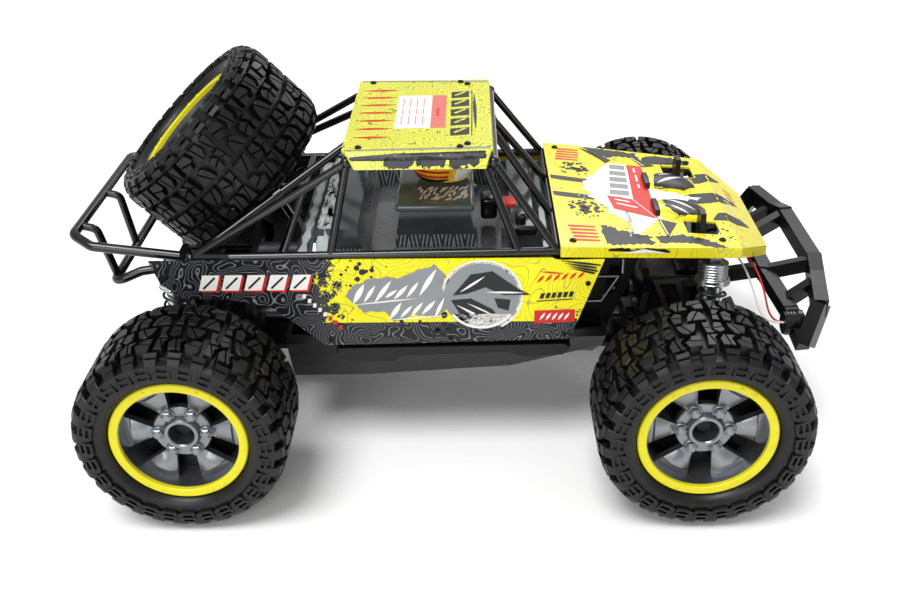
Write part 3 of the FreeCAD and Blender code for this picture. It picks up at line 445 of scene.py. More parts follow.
def revolve(mesh: bmesh.types.BMesh, section: Outline, steps: int = 96) -> None:
    """Turns a closed section about Z.

    Args:
        mesh: The mesh to add to.
        section: Points along the axis and out from it.
        steps: How many slices make the turn.
    """
    rings = []
    for step in range(steps):
        angle = math.tau * step / steps
        rings.append([Vector((r * math.cos(angle), r * math.sin(angle), u)) for u, r in section])
    skin(mesh, rings, closed=True)
    bmesh.ops.remove_doubles(mesh, verts=mesh.verts, dist=0.002)


def ring_of(outline: Outline, height: float, shrink: float, put: Callable[[float, float, float], Vector]
            ) -> list[Vector]:
    """An outline at a height, pulled in towards its middle.

    Args:
        outline: Corners in the plane.
        height: Height above the plane.
        shrink: Distance to pull each corner in.
        put: Turns plane and height coordinates into space.

    Returns:
        The ring's points.
    """
    middle = Vector((sum(a for a, _ in outline), sum(b for _, b in outline))) / len(outline)
    points = []
    for corner in outline:
        out = Vector(corner) - middle
        pulled = middle + out * max(0.0, 1 - shrink / max(out.length, 1e-6))
        points.append(put(pulled.x, pulled.y, height))
    return points


def pillow(mesh: bmesh.types.BMesh, outline: Outline, low: float, high: float, draft: float = 0.2,
           chamfer: float = 0.4, put: Callable[[float, float, float], Vector] | None = None) -> None:
    """A block with drafted sides and a chamfered top.

    Args:
        mesh: The mesh to add to.
        outline: Its footprint.
        low: Height of its foot.
        high: Height of its top.
        draft: How far the sides lean in.
        chamfer: Width of the broken top edge.
        put: Turns plane and height coordinates into space; None keeps them as they are.
    """
    put = put or (lambda a, b, h: Vector((a, b, h)))
    skin(mesh, [ring_of(outline, low, 0.0, put), ring_of(outline, high - chamfer, draft, put),
                ring_of(outline, high, draft + chamfer, put)])


def sweep(mesh: bmesh.types.BMesh, path: list[Vector], radius: float, sides: int = 10) -> None:
    """A round bar along a path, with flat ends.

    Args:
        mesh: The mesh to add to.
        path: Points along its middle.
        radius: Its radius.
        sides: How many sides make it round.
    """
    across = (path[1] - path[0]).orthogonal().normalized()
    rings = []
    for i, point in enumerate(path):
        along = (path[min(i + 1, len(path) - 1)] - path[max(i - 1, 0)]).normalized()
        across = (across - along * across.dot(along)).normalized()
        other = along.cross(across)
        rings.append([point + (across * math.cos(a) + other * math.sin(a)) * radius
                      for a in (math.tau * k / sides for k in range(sides))])
    skin(mesh, rings)


def polygon(sides: int, radius: float, middle: tuple[float, float] = (0.0, 0.0),
            turn: float = 0.0) -> Outline:
    """A regular polygon's corners, counted from an angle in degrees."""
    angles = [math.radians(turn) + math.tau * i / sides for i in range(sides)]
    return [(middle[0] + radius * math.cos(a), middle[1] + radius * math.sin(a)) for a in angles]


def facing(direction: Vector, spot: Iterable[float]) -> Matrix:
    """Puts a piece drawn along Z at a spot, with its Z along a direction."""
    return Matrix.Translation(Vector(spot)) @ direction.to_track_quat("Z", "Y").to_matrix().to_4x4()


# ---------------------------------------------------------------- wheels

@dataclass
class Wheel:
    """Block-pattern tyre on a six-spoke rim with a bead ring, drawn about Z with its outside at +Z."""

    label: str
    body: str
    place: Matrix
    rim_node: str
    tyre_node: str | None = None
    radius: float = 57.0
    flat_half: float = 18.0
    shoulder_half: float = 29.0
    rim_radius: float = 36.5
    rim_half: float = 23.5
    inner_radius: float = 31.6
    disc_face: float = 16.5
    bore_radius: float = 6.75
    nut_circle: float = 12.7
    pitches: int = 28
    spokes: int = 6

    def crown(self, across: float) -> float:
        """Radius of the tread's top: flat in the middle, then rounding down to the shoulder.

        Args:
            across: Distance from the tyre's middle.

        Returns:
            The radius there.
        """
        past = max(0.0, abs(across) - self.flat_half)
        corner = max(0.0, abs(across) - self.shoulder_half)
        return self.radius - 0.037 * past * past - 2.0 * corner

    def around(self, turn: float) -> Callable[[float, float, float], Vector]:
        """Wraps tread coordinates round the tyre.

        Args:
            turn: Angle of the pitch, in radians.

        Returns:
            A function of distance across, distance along and height over the tread's top.
        """
        def put(across: float, along: float, height: float) -> Vector:
            angle = turn + along / self.radius
            reach = self.crown(across) + height
            return Vector((reach * math.cos(angle), reach * math.sin(angle), across))
        return put

    def carcass(self, mesh: bmesh.types.BMesh) -> None:
        """The smooth casing: beads, sidewalls and the ground between the blocks.

        Args:
            mesh: The mesh to add to.
        """
        half = [(22.6, 36.9), (24.6, 37.2), (27.0, 38.6), (28.3, 41.0), (28.6, 43.4), (28.2, 46.4),
                (26.6, 49.0), (23.0, 50.8), (17.0, 51.9), (9.0, 52.3)]
        outer = half + [(0.0, 52.4)] + [(-u, r) for u, r in reversed(half)]
        revolve(mesh, outer + [(-22.6, 34.4), (22.6, 34.4)], 112)

    def sidewall_lugs(self, mesh: bmesh.types.BMesh) -> None:
        """Raised ladder-shaped pads on both sidewalls, each with two small pockets.

        Args:
            mesh: The mesh to add to.
        """
        for step in range(self.pitches):
            turn = math.tau * step / self.pitches
            for face in (1, -1):
                def put(along: float, out: float, height: float) -> Vector:
                    angle = turn + along / 47.0
                    tuck = 0.3 * max(0.0, out - 46.0)
                    return Vector((out * math.cos(angle), out * math.sin(angle),
                                   face * (28.6 + height - tuck)))
                block = [(-4.2, 43.2), (4.2, 43.2), (4.0, 51.2), (-4.0, 51.2)]
                pillow(mesh, block, -2.6, 1.2, 0.1, 0.2, put)
                for middle in (43.9, 47.1, 50.4):
                    outline = [(-4.0, middle - 0.7), (4.0, middle - 0.7), (4.0, middle + 0.7),
                               (-4.0, middle + 0.7)]
                    pillow(mesh, outline, 0.0, 2.2, 0.0, 0.25, put)
                for edge in (-3.3, 3.3):
                    outline = [(edge - 0.8, 43.4), (edge + 0.8, 43.4), (edge + 0.8, 50.9),
                               (edge - 0.8, 50.9)]
                    pillow(mesh, outline, 0.0, 2.25, 0.0, 0.25, put)

    def tread(self, mesh: bmesh.types.BMesh) -> None:
        """Ridged shoulder cubes, and angular blocks cut by fine sipes over the middle.

        Args:
            mesh: The mesh to add to.
        """
        arch = [(1.4, -11.2)] + [(1.4 + 9.2 * math.sin(a), -6.2 - 5.0 * math.cos(a))
                                 for a in (math.pi * k / 8 for k in range(1, 8))] + [(1.4, -1.2)]
        blocks = (
            ([(12.6, -11.8), (21.9, -11.2), (21.9, -4.6), (17.4, -3.0), (15.2, -6.2), (12.6, -6.6)],
             (1.0, 0.3)),
            ([(12.8, -3.4), (16.0, -0.8), (21.9, -2.2), (21.9, 4.2), (17.0, 5.2), (12.8, 2.6)], (0.2, 1.0)),
            ([(12.8, 5.2), (16.2, 7.8), (21.9, 6.8), (21.9, 11.6), (12.8, 10.8)], (0.3, 1.0)),
            (arch, (0.5, 1.0)),
            ([(1.4, 1.6), (8.6, 0.6), (11.0, 3.8), (8.2, 6.6), (1.4, 5.8)], (1.0, -0.4)),
            ([(1.4, 7.6), (7.4, 8.4), (11.2, 6.4), (11.4, 10.6), (1.4, 11.6)], (1.0, 0.2)))
        shoulder = [(23.8, -4.0), (29.7, -3.7), (29.7, 3.7), (23.8, 4.0)]
        for step in range(self.pitches):
            for face in (1, -1):
                put = self.around(math.tau * (step + 0.25 * (face + 1)) / self.pitches)
                for half in self.sipe([(face * a, b) for a, b in shoulder], (1.0, 0.0), 0.45):
                    pillow(mesh, half, -6.0, 0.0, 0.25, 0.4, put)
                if step % 2:
                    continue
                for outline, cut in blocks:
                    mirrored = [(face * a, b) for a, b in outline]
                    for half in self.sipe(mirrored, (face * cut[0], cut[1]), 0.3):
                        pillow(mesh, half, -6.0, 0.0, 0.12, 0.3, put)

    def sipe(self, outline: Outline, across: tuple[float, float], gap: float) -> list[Outline]:
        """Cuts a block in two along a narrow slit through its middle.

        Args:
            outline: The block's corners.
            across: Direction square to the slit.
            gap: Half the slit's width.

        Returns:
            The two parts.
        """
        middle = (sum(a for a, _ in outline) / len(outline), sum(b for _, b in outline) / len(outline))
        parts = []
        for sign in (1, -1):
            depth = [sign * ((a - middle[0]) * across[0] + (b - middle[1]) * across[1]) - gap
                     for a, b in outline]
            kept = []
            for k, (spot, here) in enumerate(zip(outline, depth)):
                after, there = outline[(k + 1) % len(outline)], depth[(k + 1) % len(outline)]
                if here > 0:
                    kept.append(spot)
                if (here > 0) != (there > 0):
                    share = here / (here - there)
                    kept.append((spot[0] + (after[0] - spot[0]) * share,
                                 spot[1] + (after[1] - spot[1]) * share))
            if len(kept) > 2:
                parts.append(kept)
        return parts

    def spoke(self, mesh: bmesh.types.BMesh, turn: float) -> None:
        """One fan spoke with a raised facet along its middle.

        Args:
            mesh: The mesh to add to.
            turn: Its angle, in radians.
        """
        rows = ((8.0, 2.4, 1.6, 0.0), (15.4, 2.9, 1.5, 0.0), (18.0, 4.1, 2.0, 0.3), (19.4, 4.8, 1.8, 1.9),
                (26.4, 8.2, 3.0, 2.5), (27.2, 8.6, 3.6, 1.0), (31.6, 10.8, 7.0, 0.6),
                (32.6, 11.3, 8.0, 0.0))
        rings = []
        for out, half, facet, rise in rows:
            face = self.disc_face - 1.4
            section = [(-half, 11.0), (-half, face), (-facet, face + rise), (facet, face + rise),
                       (half, face), (half, 11.0)]
            rings.append([Matrix.Rotation(turn, 3, "Z") @ Vector((out, across, height))
                          for across, height in section])
        skin(mesh, rings)

    def rim(self) -> None:
        """Barrel, flanges, spokes and hub collar in metallised plastic."""
        mesh = bmesh.new()
        half, rim = self.rim_half, self.rim_radius
        revolve(mesh, [(-half, 32.4), (-half, rim - 0.5), (-half + 0.6, rim), (-half + 2.4, rim),
                       (-half + 3.0, 34.0), (half - 1.4, 34.0), (half - 1.4, 31.4), (half - 5, 31.2),
                       (-half + 3, 31.6)], 112)
        revolve(mesh, [(11.0, 6.9), (11.0, 15.6), (14.6, 15.6), (15.2, 15.0), (15.2, 10.4), (17.6, 9.4),
                       (18.4, 8.8), (18.4, 7.2), (17.8, self.bore_radius), (8.0, self.bore_radius)], 72)
        for step in range(self.spokes):
            self.spoke(mesh, math.tau * step / self.spokes)
        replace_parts(publish(f"rim_{self.label}", mesh, GUNMETAL, self.body, self.place), self.rim_node)

    def bead_ring(self) -> None:
        """The yellow ring that clamps the bead, with pairs of small bolt heads."""
        mesh = bmesh.new()
        half, outer, inner = self.rim_half, self.rim_radius, self.inner_radius
        revolve(mesh, [(half - 1.6, inner + 0.2), (half + 0.8, inner), (half + 1.3, inner + 0.5),
                       (half + 1.3, outer - 0.6), (half + 0.7, outer), (half - 1.6, outer)], 128)
        publish(f"bead_ring_{self.label}", mesh, DYED_NYLON, self.body, self.place)
        mesh = bmesh.new()
        for step in range(self.spokes):
            for lean in (-6.5, 6.5):
                angle = math.radians(60.0 * step + lean)
                middle = (34.1 * math.cos(angle), 34.1 * math.sin(angle))
                pillow(mesh, polygon(6, 1.0, middle), half + 0.9, half + 1.7, 0.0, 0.2)
        publish(f"ring_bolts_{self.label}", mesh, DYED_NYLON, self.body, self.place)

    def hub(self) -> None:
        """Hex nuts on raised pads, the dark axle end in the bore, and a black dish behind the spokes that
        is painted shade for the spoke windows.
        """
        pads, nuts, axle = bmesh.new(), bmesh.new(), bmesh.new()
        for step in range(self.spokes):
            angle = math.tau * step / self.spokes
            middle = (self.nut_circle * math.cos(angle), self.nut_circle * math.sin(angle))
            pillow(pads, polygon(20, 4.0, middle), 13.0, 16.4, 0.1, 0.4)
            pillow(nuts, polygon(6, 3.2, middle, math.degrees(angle)), 16.0, 18.2, 0.0, 0.5)
            pillow(nuts, polygon(20, 2.1, middle), 18.0, 18.7, 0.0, 0.35)
        revolve(axle, [(8.2, 0.0), (8.2, 6.7), (10.2, 6.7), (10.2, 4.4), (12.2, 3.6), (12.2, 0.0)], 48)
        publish(f"nut_pads_{self.label}", pads, GUNMETAL, self.body, self.place)
        publish(f"wheel_nuts_{self.label}", nuts, GUNMETAL, self.body, self.place)
        publish(f"axle_end_{self.label}", axle, BLACK_STEEL, self.body, self.place)
        # Painted shade: a black dish closes the spoke windows so that they read dark, standing for the
        # shade and the black parts inside the wheel.
        dish = bmesh.new()
        revolve(dish, [(2.0, 6.9), (3.4, 6.9), (4.6, 12.0), (4.6, 31.5), (2.0, 31.5)], 72)
        publish(f"wheel_shade_dish_{self.label}", dish, NYLON, self.body, self.place)

    def build(self) -> None:
        """Makes the tyre and the rim and all that is on it."""
        mesh = bmesh.new()
        self.carcass(mesh)
        self.sidewall_lugs(mesh)
        self.tread(mesh)
        tyre = publish(f"tyre_{self.label}", mesh, RUBBER, self.body, self.place)
        if self.tyre_node:
            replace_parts(tyre, self.tyre_node)
        self.rim()
        self.bead_ring()
        self.hub()


# ---------------------------------------------------------------- dampers

@dataclass
class Damper:
    """Ribbed cap, collars and coil spring on one damper."""

    corner: str
    axle_x: float
    end: int
    side: int
    offset: float = 14.2
    top_y: float = 58.0
    top_z: float = 119.0
    lean: float = 7.1
    cap_radius: float = 7.75
    spring_radius: float = 8.0
    wire: float = 0.8
    spring_top: float = 16.2
    spring_height: float = 51.0
    spring_pitch: float = 5.9

    def place(self) -> Matrix:
        """Puts a piece drawn hanging from the origin on the damper's own line."""
        spot = Vector((self.axle_x + self.end * self.offset, self.side * self.top_y, self.top_z))
        return Matrix.Translation(spot) @ Matrix.Rotation(math.radians(self.side * self.lean), 4, "X")

    def trim(self) -> None:
        """Turned ribs round the cap, and two thin rings under it."""
        mesh = bmesh.new()
        for rib in range(6):
            low = -12.6 + 1.6 * rib
            revolve(mesh, [(low, self.cap_radius - 0.6), (low, self.cap_radius + 0.35),
                           (low + 0.3, self.cap_radius + 0.6), (low + 0.7, self.cap_radius + 0.6),
                           (low + 1.0, self.cap_radius + 0.35), (low + 1.0, self.cap_radius - 0.6)], 48)
        for low, reach in ((-15.9, 9.9), (-13.9, 9.4)):
            revolve(mesh, [(low, 6.0), (low, reach - 0.3), (low + 0.3, reach), (low + 1.1, reach),
                           (low + 1.4, reach - 0.3), (low + 1.4, 6.0)], 48)
        publish(f"damper_cap_{self.corner}", mesh, ALUMINIUM, f"shock_body_{self.corner}", self.place())

    def spring(self) -> None:
        """The coil, which rides on the damper body."""
        mesh = bmesh.new()
        top, height = -(self.spring_top + self.wire), self.spring_height - 2 * self.wire
        turns = height / self.spring_pitch
        steps = int(turns * 28)
        path = []
        for step in range(steps + 1):
            angle = math.tau * turns * step / steps
            path.append(Vector((self.spring_radius * math.cos(angle), self.spring_radius * math.sin(angle),
                                top - height * step / steps)))
        sweep(mesh, path, self.wire)
        place = self.place()
        piece = publish(f"coil_{self.corner}", mesh, SPRING_STEEL, f"shock_body_{self.corner}", place, 60.0)
        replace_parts(piece, f"spring_{self.corner}")
        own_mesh(piece)

    def build(self) -> None:
        """Makes the damper's trim and spring."""
        self.trim()
        self.spring()


# ---------------------------------------------------------------- CAD nodes

@dataclass
class Structure:
    """The CAD nodes whose shapes stay, each with what it is made of."""

    plain: dict[str, Finish] = field(default_factory=lambda: {
        "chassis_tub": NYLON, "gearbox_front": NYLON, "gearbox_rear": NYLON, "shock_towers": NYLON,
        "motor": ZINC_STEEL, "electronics": NYLON, "steering_servo": NYLON, "roll_cage": GLOSS_ABS,
        "rear_rack": GLOSS_ABS, "front_bumper": NYLON, "roof_panel": ROOF_SHELL, "hood_panel": SHELL,
        "side_panels": FLANK_SHELL, "cockpit_tray": LINER, "driver_figure": HELMET,
        "centre_driveshaft": ZINC_STEEL, "steering_rack": NYLON, "servo_horn": NYLON,
        "tie_rod_left": BLACK_STEEL, "tie_rod_right": BLACK_STEEL})
    cornered: dict[str, Finish] = field(default_factory=lambda: {
        "lower_arm": NYLON, "upper_arm": NYLON, "hub_carrier": NYLON, "knuckle": NYLON,
        "halfshaft": ZINC_STEEL, "shock_body": ALUMINIUM, "shock_rod": BLACK_STEEL})

    def dress(self) -> None:
        """Gives every node that stays its material."""
        chosen = dict(self.plain)
        for stem, finish in self.cornered.items():
            chosen.update({f"{stem}_{corner}": finish for corner in CORNERS})
        for name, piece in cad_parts.items():
            finish = chosen.get(name)
            if finish is None:
                continue
            for socket in piece.material_slots:
                socket.material = finish.material()
            if not piece.material_slots:
                piece.data.materials.append(finish.material())
            LOG.info("%s is %s", name, finish.name)


# ---------------------------------------------------------------- printed film and small hardware

def torn(outline: Outline, reach: float, seed: int, step: float = 1.5) -> Outline:
    """Roughens an outline as dry-brushed paint does.

    Args:
        outline: Corners of the smooth shape.
        reach: How far a tear goes in or out.
        seed: Chooses the tears.
        step: Distance between tears.

    Returns:
        The torn outline.
    """
    chance = random.Random(seed)
    points = []
    for (ax, ay), (bx, by) in zip(outline, outline[1:] + outline[:1]):
        length = math.hypot(bx - ax, by - ay)
        count = max(1, round(length / step))
        for i in range(count):
            push = reach * chance.random() ** 1.6 * chance.choice((-1, 1)) / length
            share = i / count
            points.append((ax + (bx - ax) * share + (by - ay) * push,
                           ay + (by - ay) * share - (bx - ax) * push))
    return points


def splatter(middle: tuple[float, float], reach: float, count: int, seed: int,
             size: float) -> list[Outline]:
    """Drops of paint thrown round a point, smaller further out.

    Args:
        middle: The point.
        reach: How far the furthest drop lies.
        count: How many drops.
        seed: Chooses the drops.
        size: Radius of the largest drop.

    Returns:
        One outline for each drop.
    """
    chance = random.Random(seed)
    drops = []
    for _ in range(count):
        angle, share = chance.random() * math.tau, chance.random() ** 0.7
        spot = (middle[0] + reach * share * math.cos(angle), middle[1] + reach * share * math.sin(angle))
        radius = size * (1.05 - 0.75 * share) * (0.5 + 0.5 * chance.random())
        fleck = polygon(8, radius, spot, chance.random() * 90)
        drops.append(torn(fleck, radius * 0.25, chance.randrange(9999), max(0.4, radius * 0.5)))
    return drops


def bar(start: tuple[float, float], end: tuple[float, float], width: float,
        tip: float | None = None) -> Outline:
    """A straight stroke, which may narrow to a tip.

    Args:
        start: Middle of its first end.
        end: Middle of its second end.
        width: Its width at the start.
        tip: Its width at the end; None keeps the width.

    Returns:
        Its four corners.
    """
    tip = width if tip is None else tip
    length = math.hypot(end[0] - start[0], end[1] - start[1])
    side = ((start[1] - end[1]) / length / 2, (end[0] - start[0]) / length / 2)
    return [(start[0] + side[0] * width, start[1] + side[1] * width),
            (start[0] - side[0] * width, start[1] - side[1] * width),
            (end[0] - side[0] * tip, end[1] - side[1] * tip),
            (end[0] + side[0] * tip, end[1] + side[1] * tip)]


def leaf(start: tuple[float, float], end: tuple[float, float], width: float) -> Outline:
    """A stroke that swells in its middle and ends in two points.

    Args:
        start: One end.
        end: The other end.
        width: Its widest.

    Returns:
        Its outline.
    """
    ahead = (end[0] - start[0], end[1] - start[1])
    length = math.hypot(*ahead)
    side = (-ahead[1] / length, ahead[0] / length)
    rise = [(k / 10, width / 2 * math.sin(math.pi * k / 10)) for k in range(11)]
    there = [(start[0] + ahead[0] * s + side[0] * w, start[1] + ahead[1] * s + side[1] * w)
             for s, w in rise]
    back = [(start[0] + ahead[0] * s - side[0] * w, start[1] + ahead[1] * s - side[1] * w)
            for s, w in rise[-2:0:-1]]
    return there + back


def slanted(low: tuple[float, float], width: float, height: float, lean: float) -> Outline:
    """A leaning block from its lower corner."""
    return [low, (low[0] + width, low[1]), (low[0] + width + lean, low[1] + height),
            (low[0] + lean, low[1] + height)]


def arc(middle: tuple[float, float], outer: float, inner: float, start: float = 0.0,
        turn: float = 359.0) -> Outline:
    """A curved band between two radii.

    Args:
        middle: The centre of both.
        outer: The larger radius.
        inner: The smaller radius.
        start: Its first angle in degrees.
        turn: How many degrees it runs round.

    Returns:
        Its outline.
    """
    steps = [math.radians(start + turn * k / 36) for k in range(37)]
    rim = [(middle[0] + outer * math.cos(a), middle[1] + outer * math.sin(a)) for a in steps]
    return rim + [(middle[0] + inner * math.cos(a), middle[1] + inner * math.sin(a))
                  for a in reversed(steps)]


SURFACES: dict[str, BVHTree] = {}


def surface(node: str) -> BVHTree:
    """The CAD node's own surface, for laying things on it."""
    if node not in SURFACES:
        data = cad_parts[node].data
        SURFACES[node] = BVHTree.FromPolygons([v.co.copy() for v in data.vertices],
                                              [tuple(p.vertices) for p in data.polygons])
    return SURFACES[node]


def landing(node: str, side: Side, spot: tuple[float, float]) -> Vector | None:
    """Where a straight line from outside meets a CAD node, in millimetres.

    Args:
        node: The CAD node.
        side: The side the line comes from.
        spot: The line's two in-plane coordinates.

    Returns:
        The point, or None where the line misses.
    """
    first, second, out, sign = side.value
    start, ahead = [0.0] * 3, [0.0] * 3
    start[first], start[second], start[out] = spot[0], spot[1], sign * 400.0
    ahead[out] = -float(sign)
    hit = surface(node).ray_cast(Vector(start) * MM, Vector(ahead))[0]
    return None if hit is None else hit / MM


@dataclass
class Film:
    """Thin printed film that follows a CAD panel."""

    name: str
    node: str
    side: Side
    finish: Finish
    outlines: list[Outline]
    lift: float = 0.12
    thickness: float = 0.08
    facet: float = 3.0

    def build(self) -> None:
        """Cuts the film, lays it on the panel, trims what hangs over, and gives it thickness."""
        mesh = bmesh.new()
        for outline in self.outlines:
            mesh.faces.new([mesh.verts.new((u, v, 0.0)) for u, v in outline])
        bmesh.ops.triangulate(mesh, faces=mesh.faces[:], ngon_method="EAR_CLIP")
        for _ in range(4):
            long = [edge for edge in mesh.edges if edge.calc_length() > self.facet]
            if not long:
                break
            bmesh.ops.subdivide_edges(mesh, edges=long, cuts=1)
            bmesh.ops.triangulate(mesh, faces=mesh.faces[:])
        out, sign = self.side.value[2], self.side.value[3]
        missed = []
        for vert in mesh.verts:
            spot = landing(self.node, self.side, (vert.co.x, vert.co.y))
            if spot is None:
                missed.append(vert)
                continue
            spot[out] += sign * self.lift
            vert.co = spot
        bmesh.ops.delete(mesh, geom=missed, context="VERTS")
        mesh.normal_update()
        steep = [face for face in mesh.faces if abs(face.normal[out]) < 0.25 or face.calc_area() < 1e-5]
        bmesh.ops.delete(mesh, geom=steep, context="FACES")
        if not mesh.faces:
            mesh.free()
            LOG.warning("%s lies on nothing", self.name)
            return
        self.thicken(mesh)
        publish(self.name, mesh, self.finish, "chassis")

    def thicken(self, mesh: bmesh.types.BMesh) -> None:
        """Closes the sheet with a second face under it and walls round its edge.

        Args:
            mesh: The sheet, laid on the panel.
        """
        loose = [vert for vert in mesh.verts if not vert.link_faces]
        bmesh.ops.delete(mesh, geom=loose, context="VERTS")
        tops, edges = mesh.faces[:], [edge for edge in mesh.edges if len(edge.link_faces) == 1]
        drop = Vector((0.0, 0.0, 0.0))
        drop[self.side.value[2]] = -self.side.value[3] * self.thickness
        under = {vert: mesh.verts.new(vert.co + drop) for vert in mesh.verts[:]}
        for face in tops:
            mesh.faces.new([under[vert] for vert in reversed(face.verts)])
        for edge in edges:
            one, two = edge.verts
            mesh.faces.new((one, two, under[two], under[one]))


@dataclass
class Screws:
    """Pan-head screws with a hex socket, set on a CAD node from one side."""

    name: str
    node: str
    side: Side
    spots: list[tuple[float, float]]
    radius: float = 2.0
    height: float = 1.3
    finish: Finish = BLACK_STEEL

    def build(self) -> None:
        """Sets a screw at each spot that the node reaches."""
        mesh = bmesh.new()
        out, sign = self.side.value[2], self.side.value[3]
        ahead = Vector((0.0, 0.0, 0.0))
        ahead[out] = float(sign)
        for spot in self.spots:
            foot = landing(self.node, self.side, spot)
            if foot is None:
                LOG.warning("%s has nothing under %s", self.name, spot)
                continue
            screw = bmesh.new()
            r, h = self.radius, self.height
            revolve(screw, [(-0.4, 0.0), (-0.4, r), (h * 0.35, r), (h * 0.8, r * 0.82), (h, r * 0.55),
                            (h, r * 0.42), (h * 0.4, r * 0.36), (h * 0.4, 0.0)], 20)
            screw.transform(facing(ahead, foot))
            data = bpy.data.meshes.new("screw")
            screw.to_mesh(data)
            screw.free()
            mesh.from_mesh(data)
            bpy.data.meshes.remove(data)
        publish(self.name, mesh, self.finish, "chassis")


# ---------------------------------------------------------------- shell prints

@dataclass
class Roof:
    """Red slits, a label, leaning blocks and torn black edges on the roof."""

    slit_gap: float = 13.2
    slits: int = 7

    def film(self, name: str, finish: Finish, outlines: list[Outline], lift: float = 0.12,
             side: Side = Side.TOP) -> None:
        """Lays one film on the roof."""
        Film(f"roof_{name}", "roof_panel", side, finish, outlines, lift).build()

    def build(self) -> None:
        """Lays every print and sets the screws."""
        span = self.slit_gap * (self.slits - 1) / 2
        rows = [span - self.slit_gap * i for i in range(self.slits)]
        self.film("slits", INK_RED, [leaf((-55, y), (-33.5, y + 0.4), 3.0) for y in rows])
        self.film("label", INK_WHITE, [[(-32.5, -26), (-12.4, -25.4), (-12.4, 29.6), (-32.5, 29.6)]])
        self.film("label_end", INK_PINK, [[(-12.2, -25.4), (-3.8, -24.8), (-3.8, 29.8), (-12.2, 29.6)]])
        self.film("label_rows", INK_PINK, [bar((x, y), (x, y + w), 0.5) for x in (-29, -25, -21, -17)
                                           for y, w in ((-20, 14), (-3, 9), (9, 15))], 0.24)
        self.film("label_tag", INK_RED, [bar((-8.6, y), (-8.6, y + 3.2), 1.6) for y in (-6, -1.5, 3)], 0.24)
        blocks = [[(-1.0, y), (9.6, y + 2.0), (9.6, y + 13.0), (-1.0, y + 11.0)] for y in
                  (-38.0, -22.4, -6.8, 8.8, 24.4)]
        self.film("blocks", INK_DARK, blocks)
        self.film("block_slots", ROOF_SHELL, [bar((1.2, y + 3.4), (7.4, y + 10.2), 1.7) for y in
                                              (-37.0, -21.4, -5.8, 9.8, 25.4)], 0.24)
        self.film("underline", INK_DARK,
                  [bar((10.9, -38), (11.4, 38), 0.6), leaf((13.2, -30), (12.6, 34), 2.0)])
        self.film("edge_lines", INK_GREY,
                  [bar((-57, -58.2), (21, -55.6), 1.6, 2.6), bar((-57, 58.2), (21, 55.6), 1.6, 2.6)])
        for face, side in ((-1, Side.RIGHT), (1, Side.LEFT)):
            tears = [torn([(-36 + 17 * i, 177.2), (-22 + 17 * i, 177.0), (-19 + 17 * i, 182.0),
                           (-33 + 17 * i, 182.4)], 1.5, 40 + i + 7 * face, 1.0) for i in range(3)]
            tears += [torn(bar((-56, 181.2), (20, 182.4), 1.2, 2.2), 0.8, 61 + face, 1.2)]
            tears += splatter((-18, 179.5), 20, 14, 90 + face, 1.6)
            self.film(f"skirt_tears_{side.name.lower()}", INK_DARK, tears, 0.12, side)
        spots = [(x, face * 54.6) for x in (-50.0, 4.5) for face in (-1, 1)]
        spots += [(8.6, face * 50.4) for face in (-1, 1)]
        Screws("roof_screws", "roof_panel", Side.TOP, spots, 1.9).build()


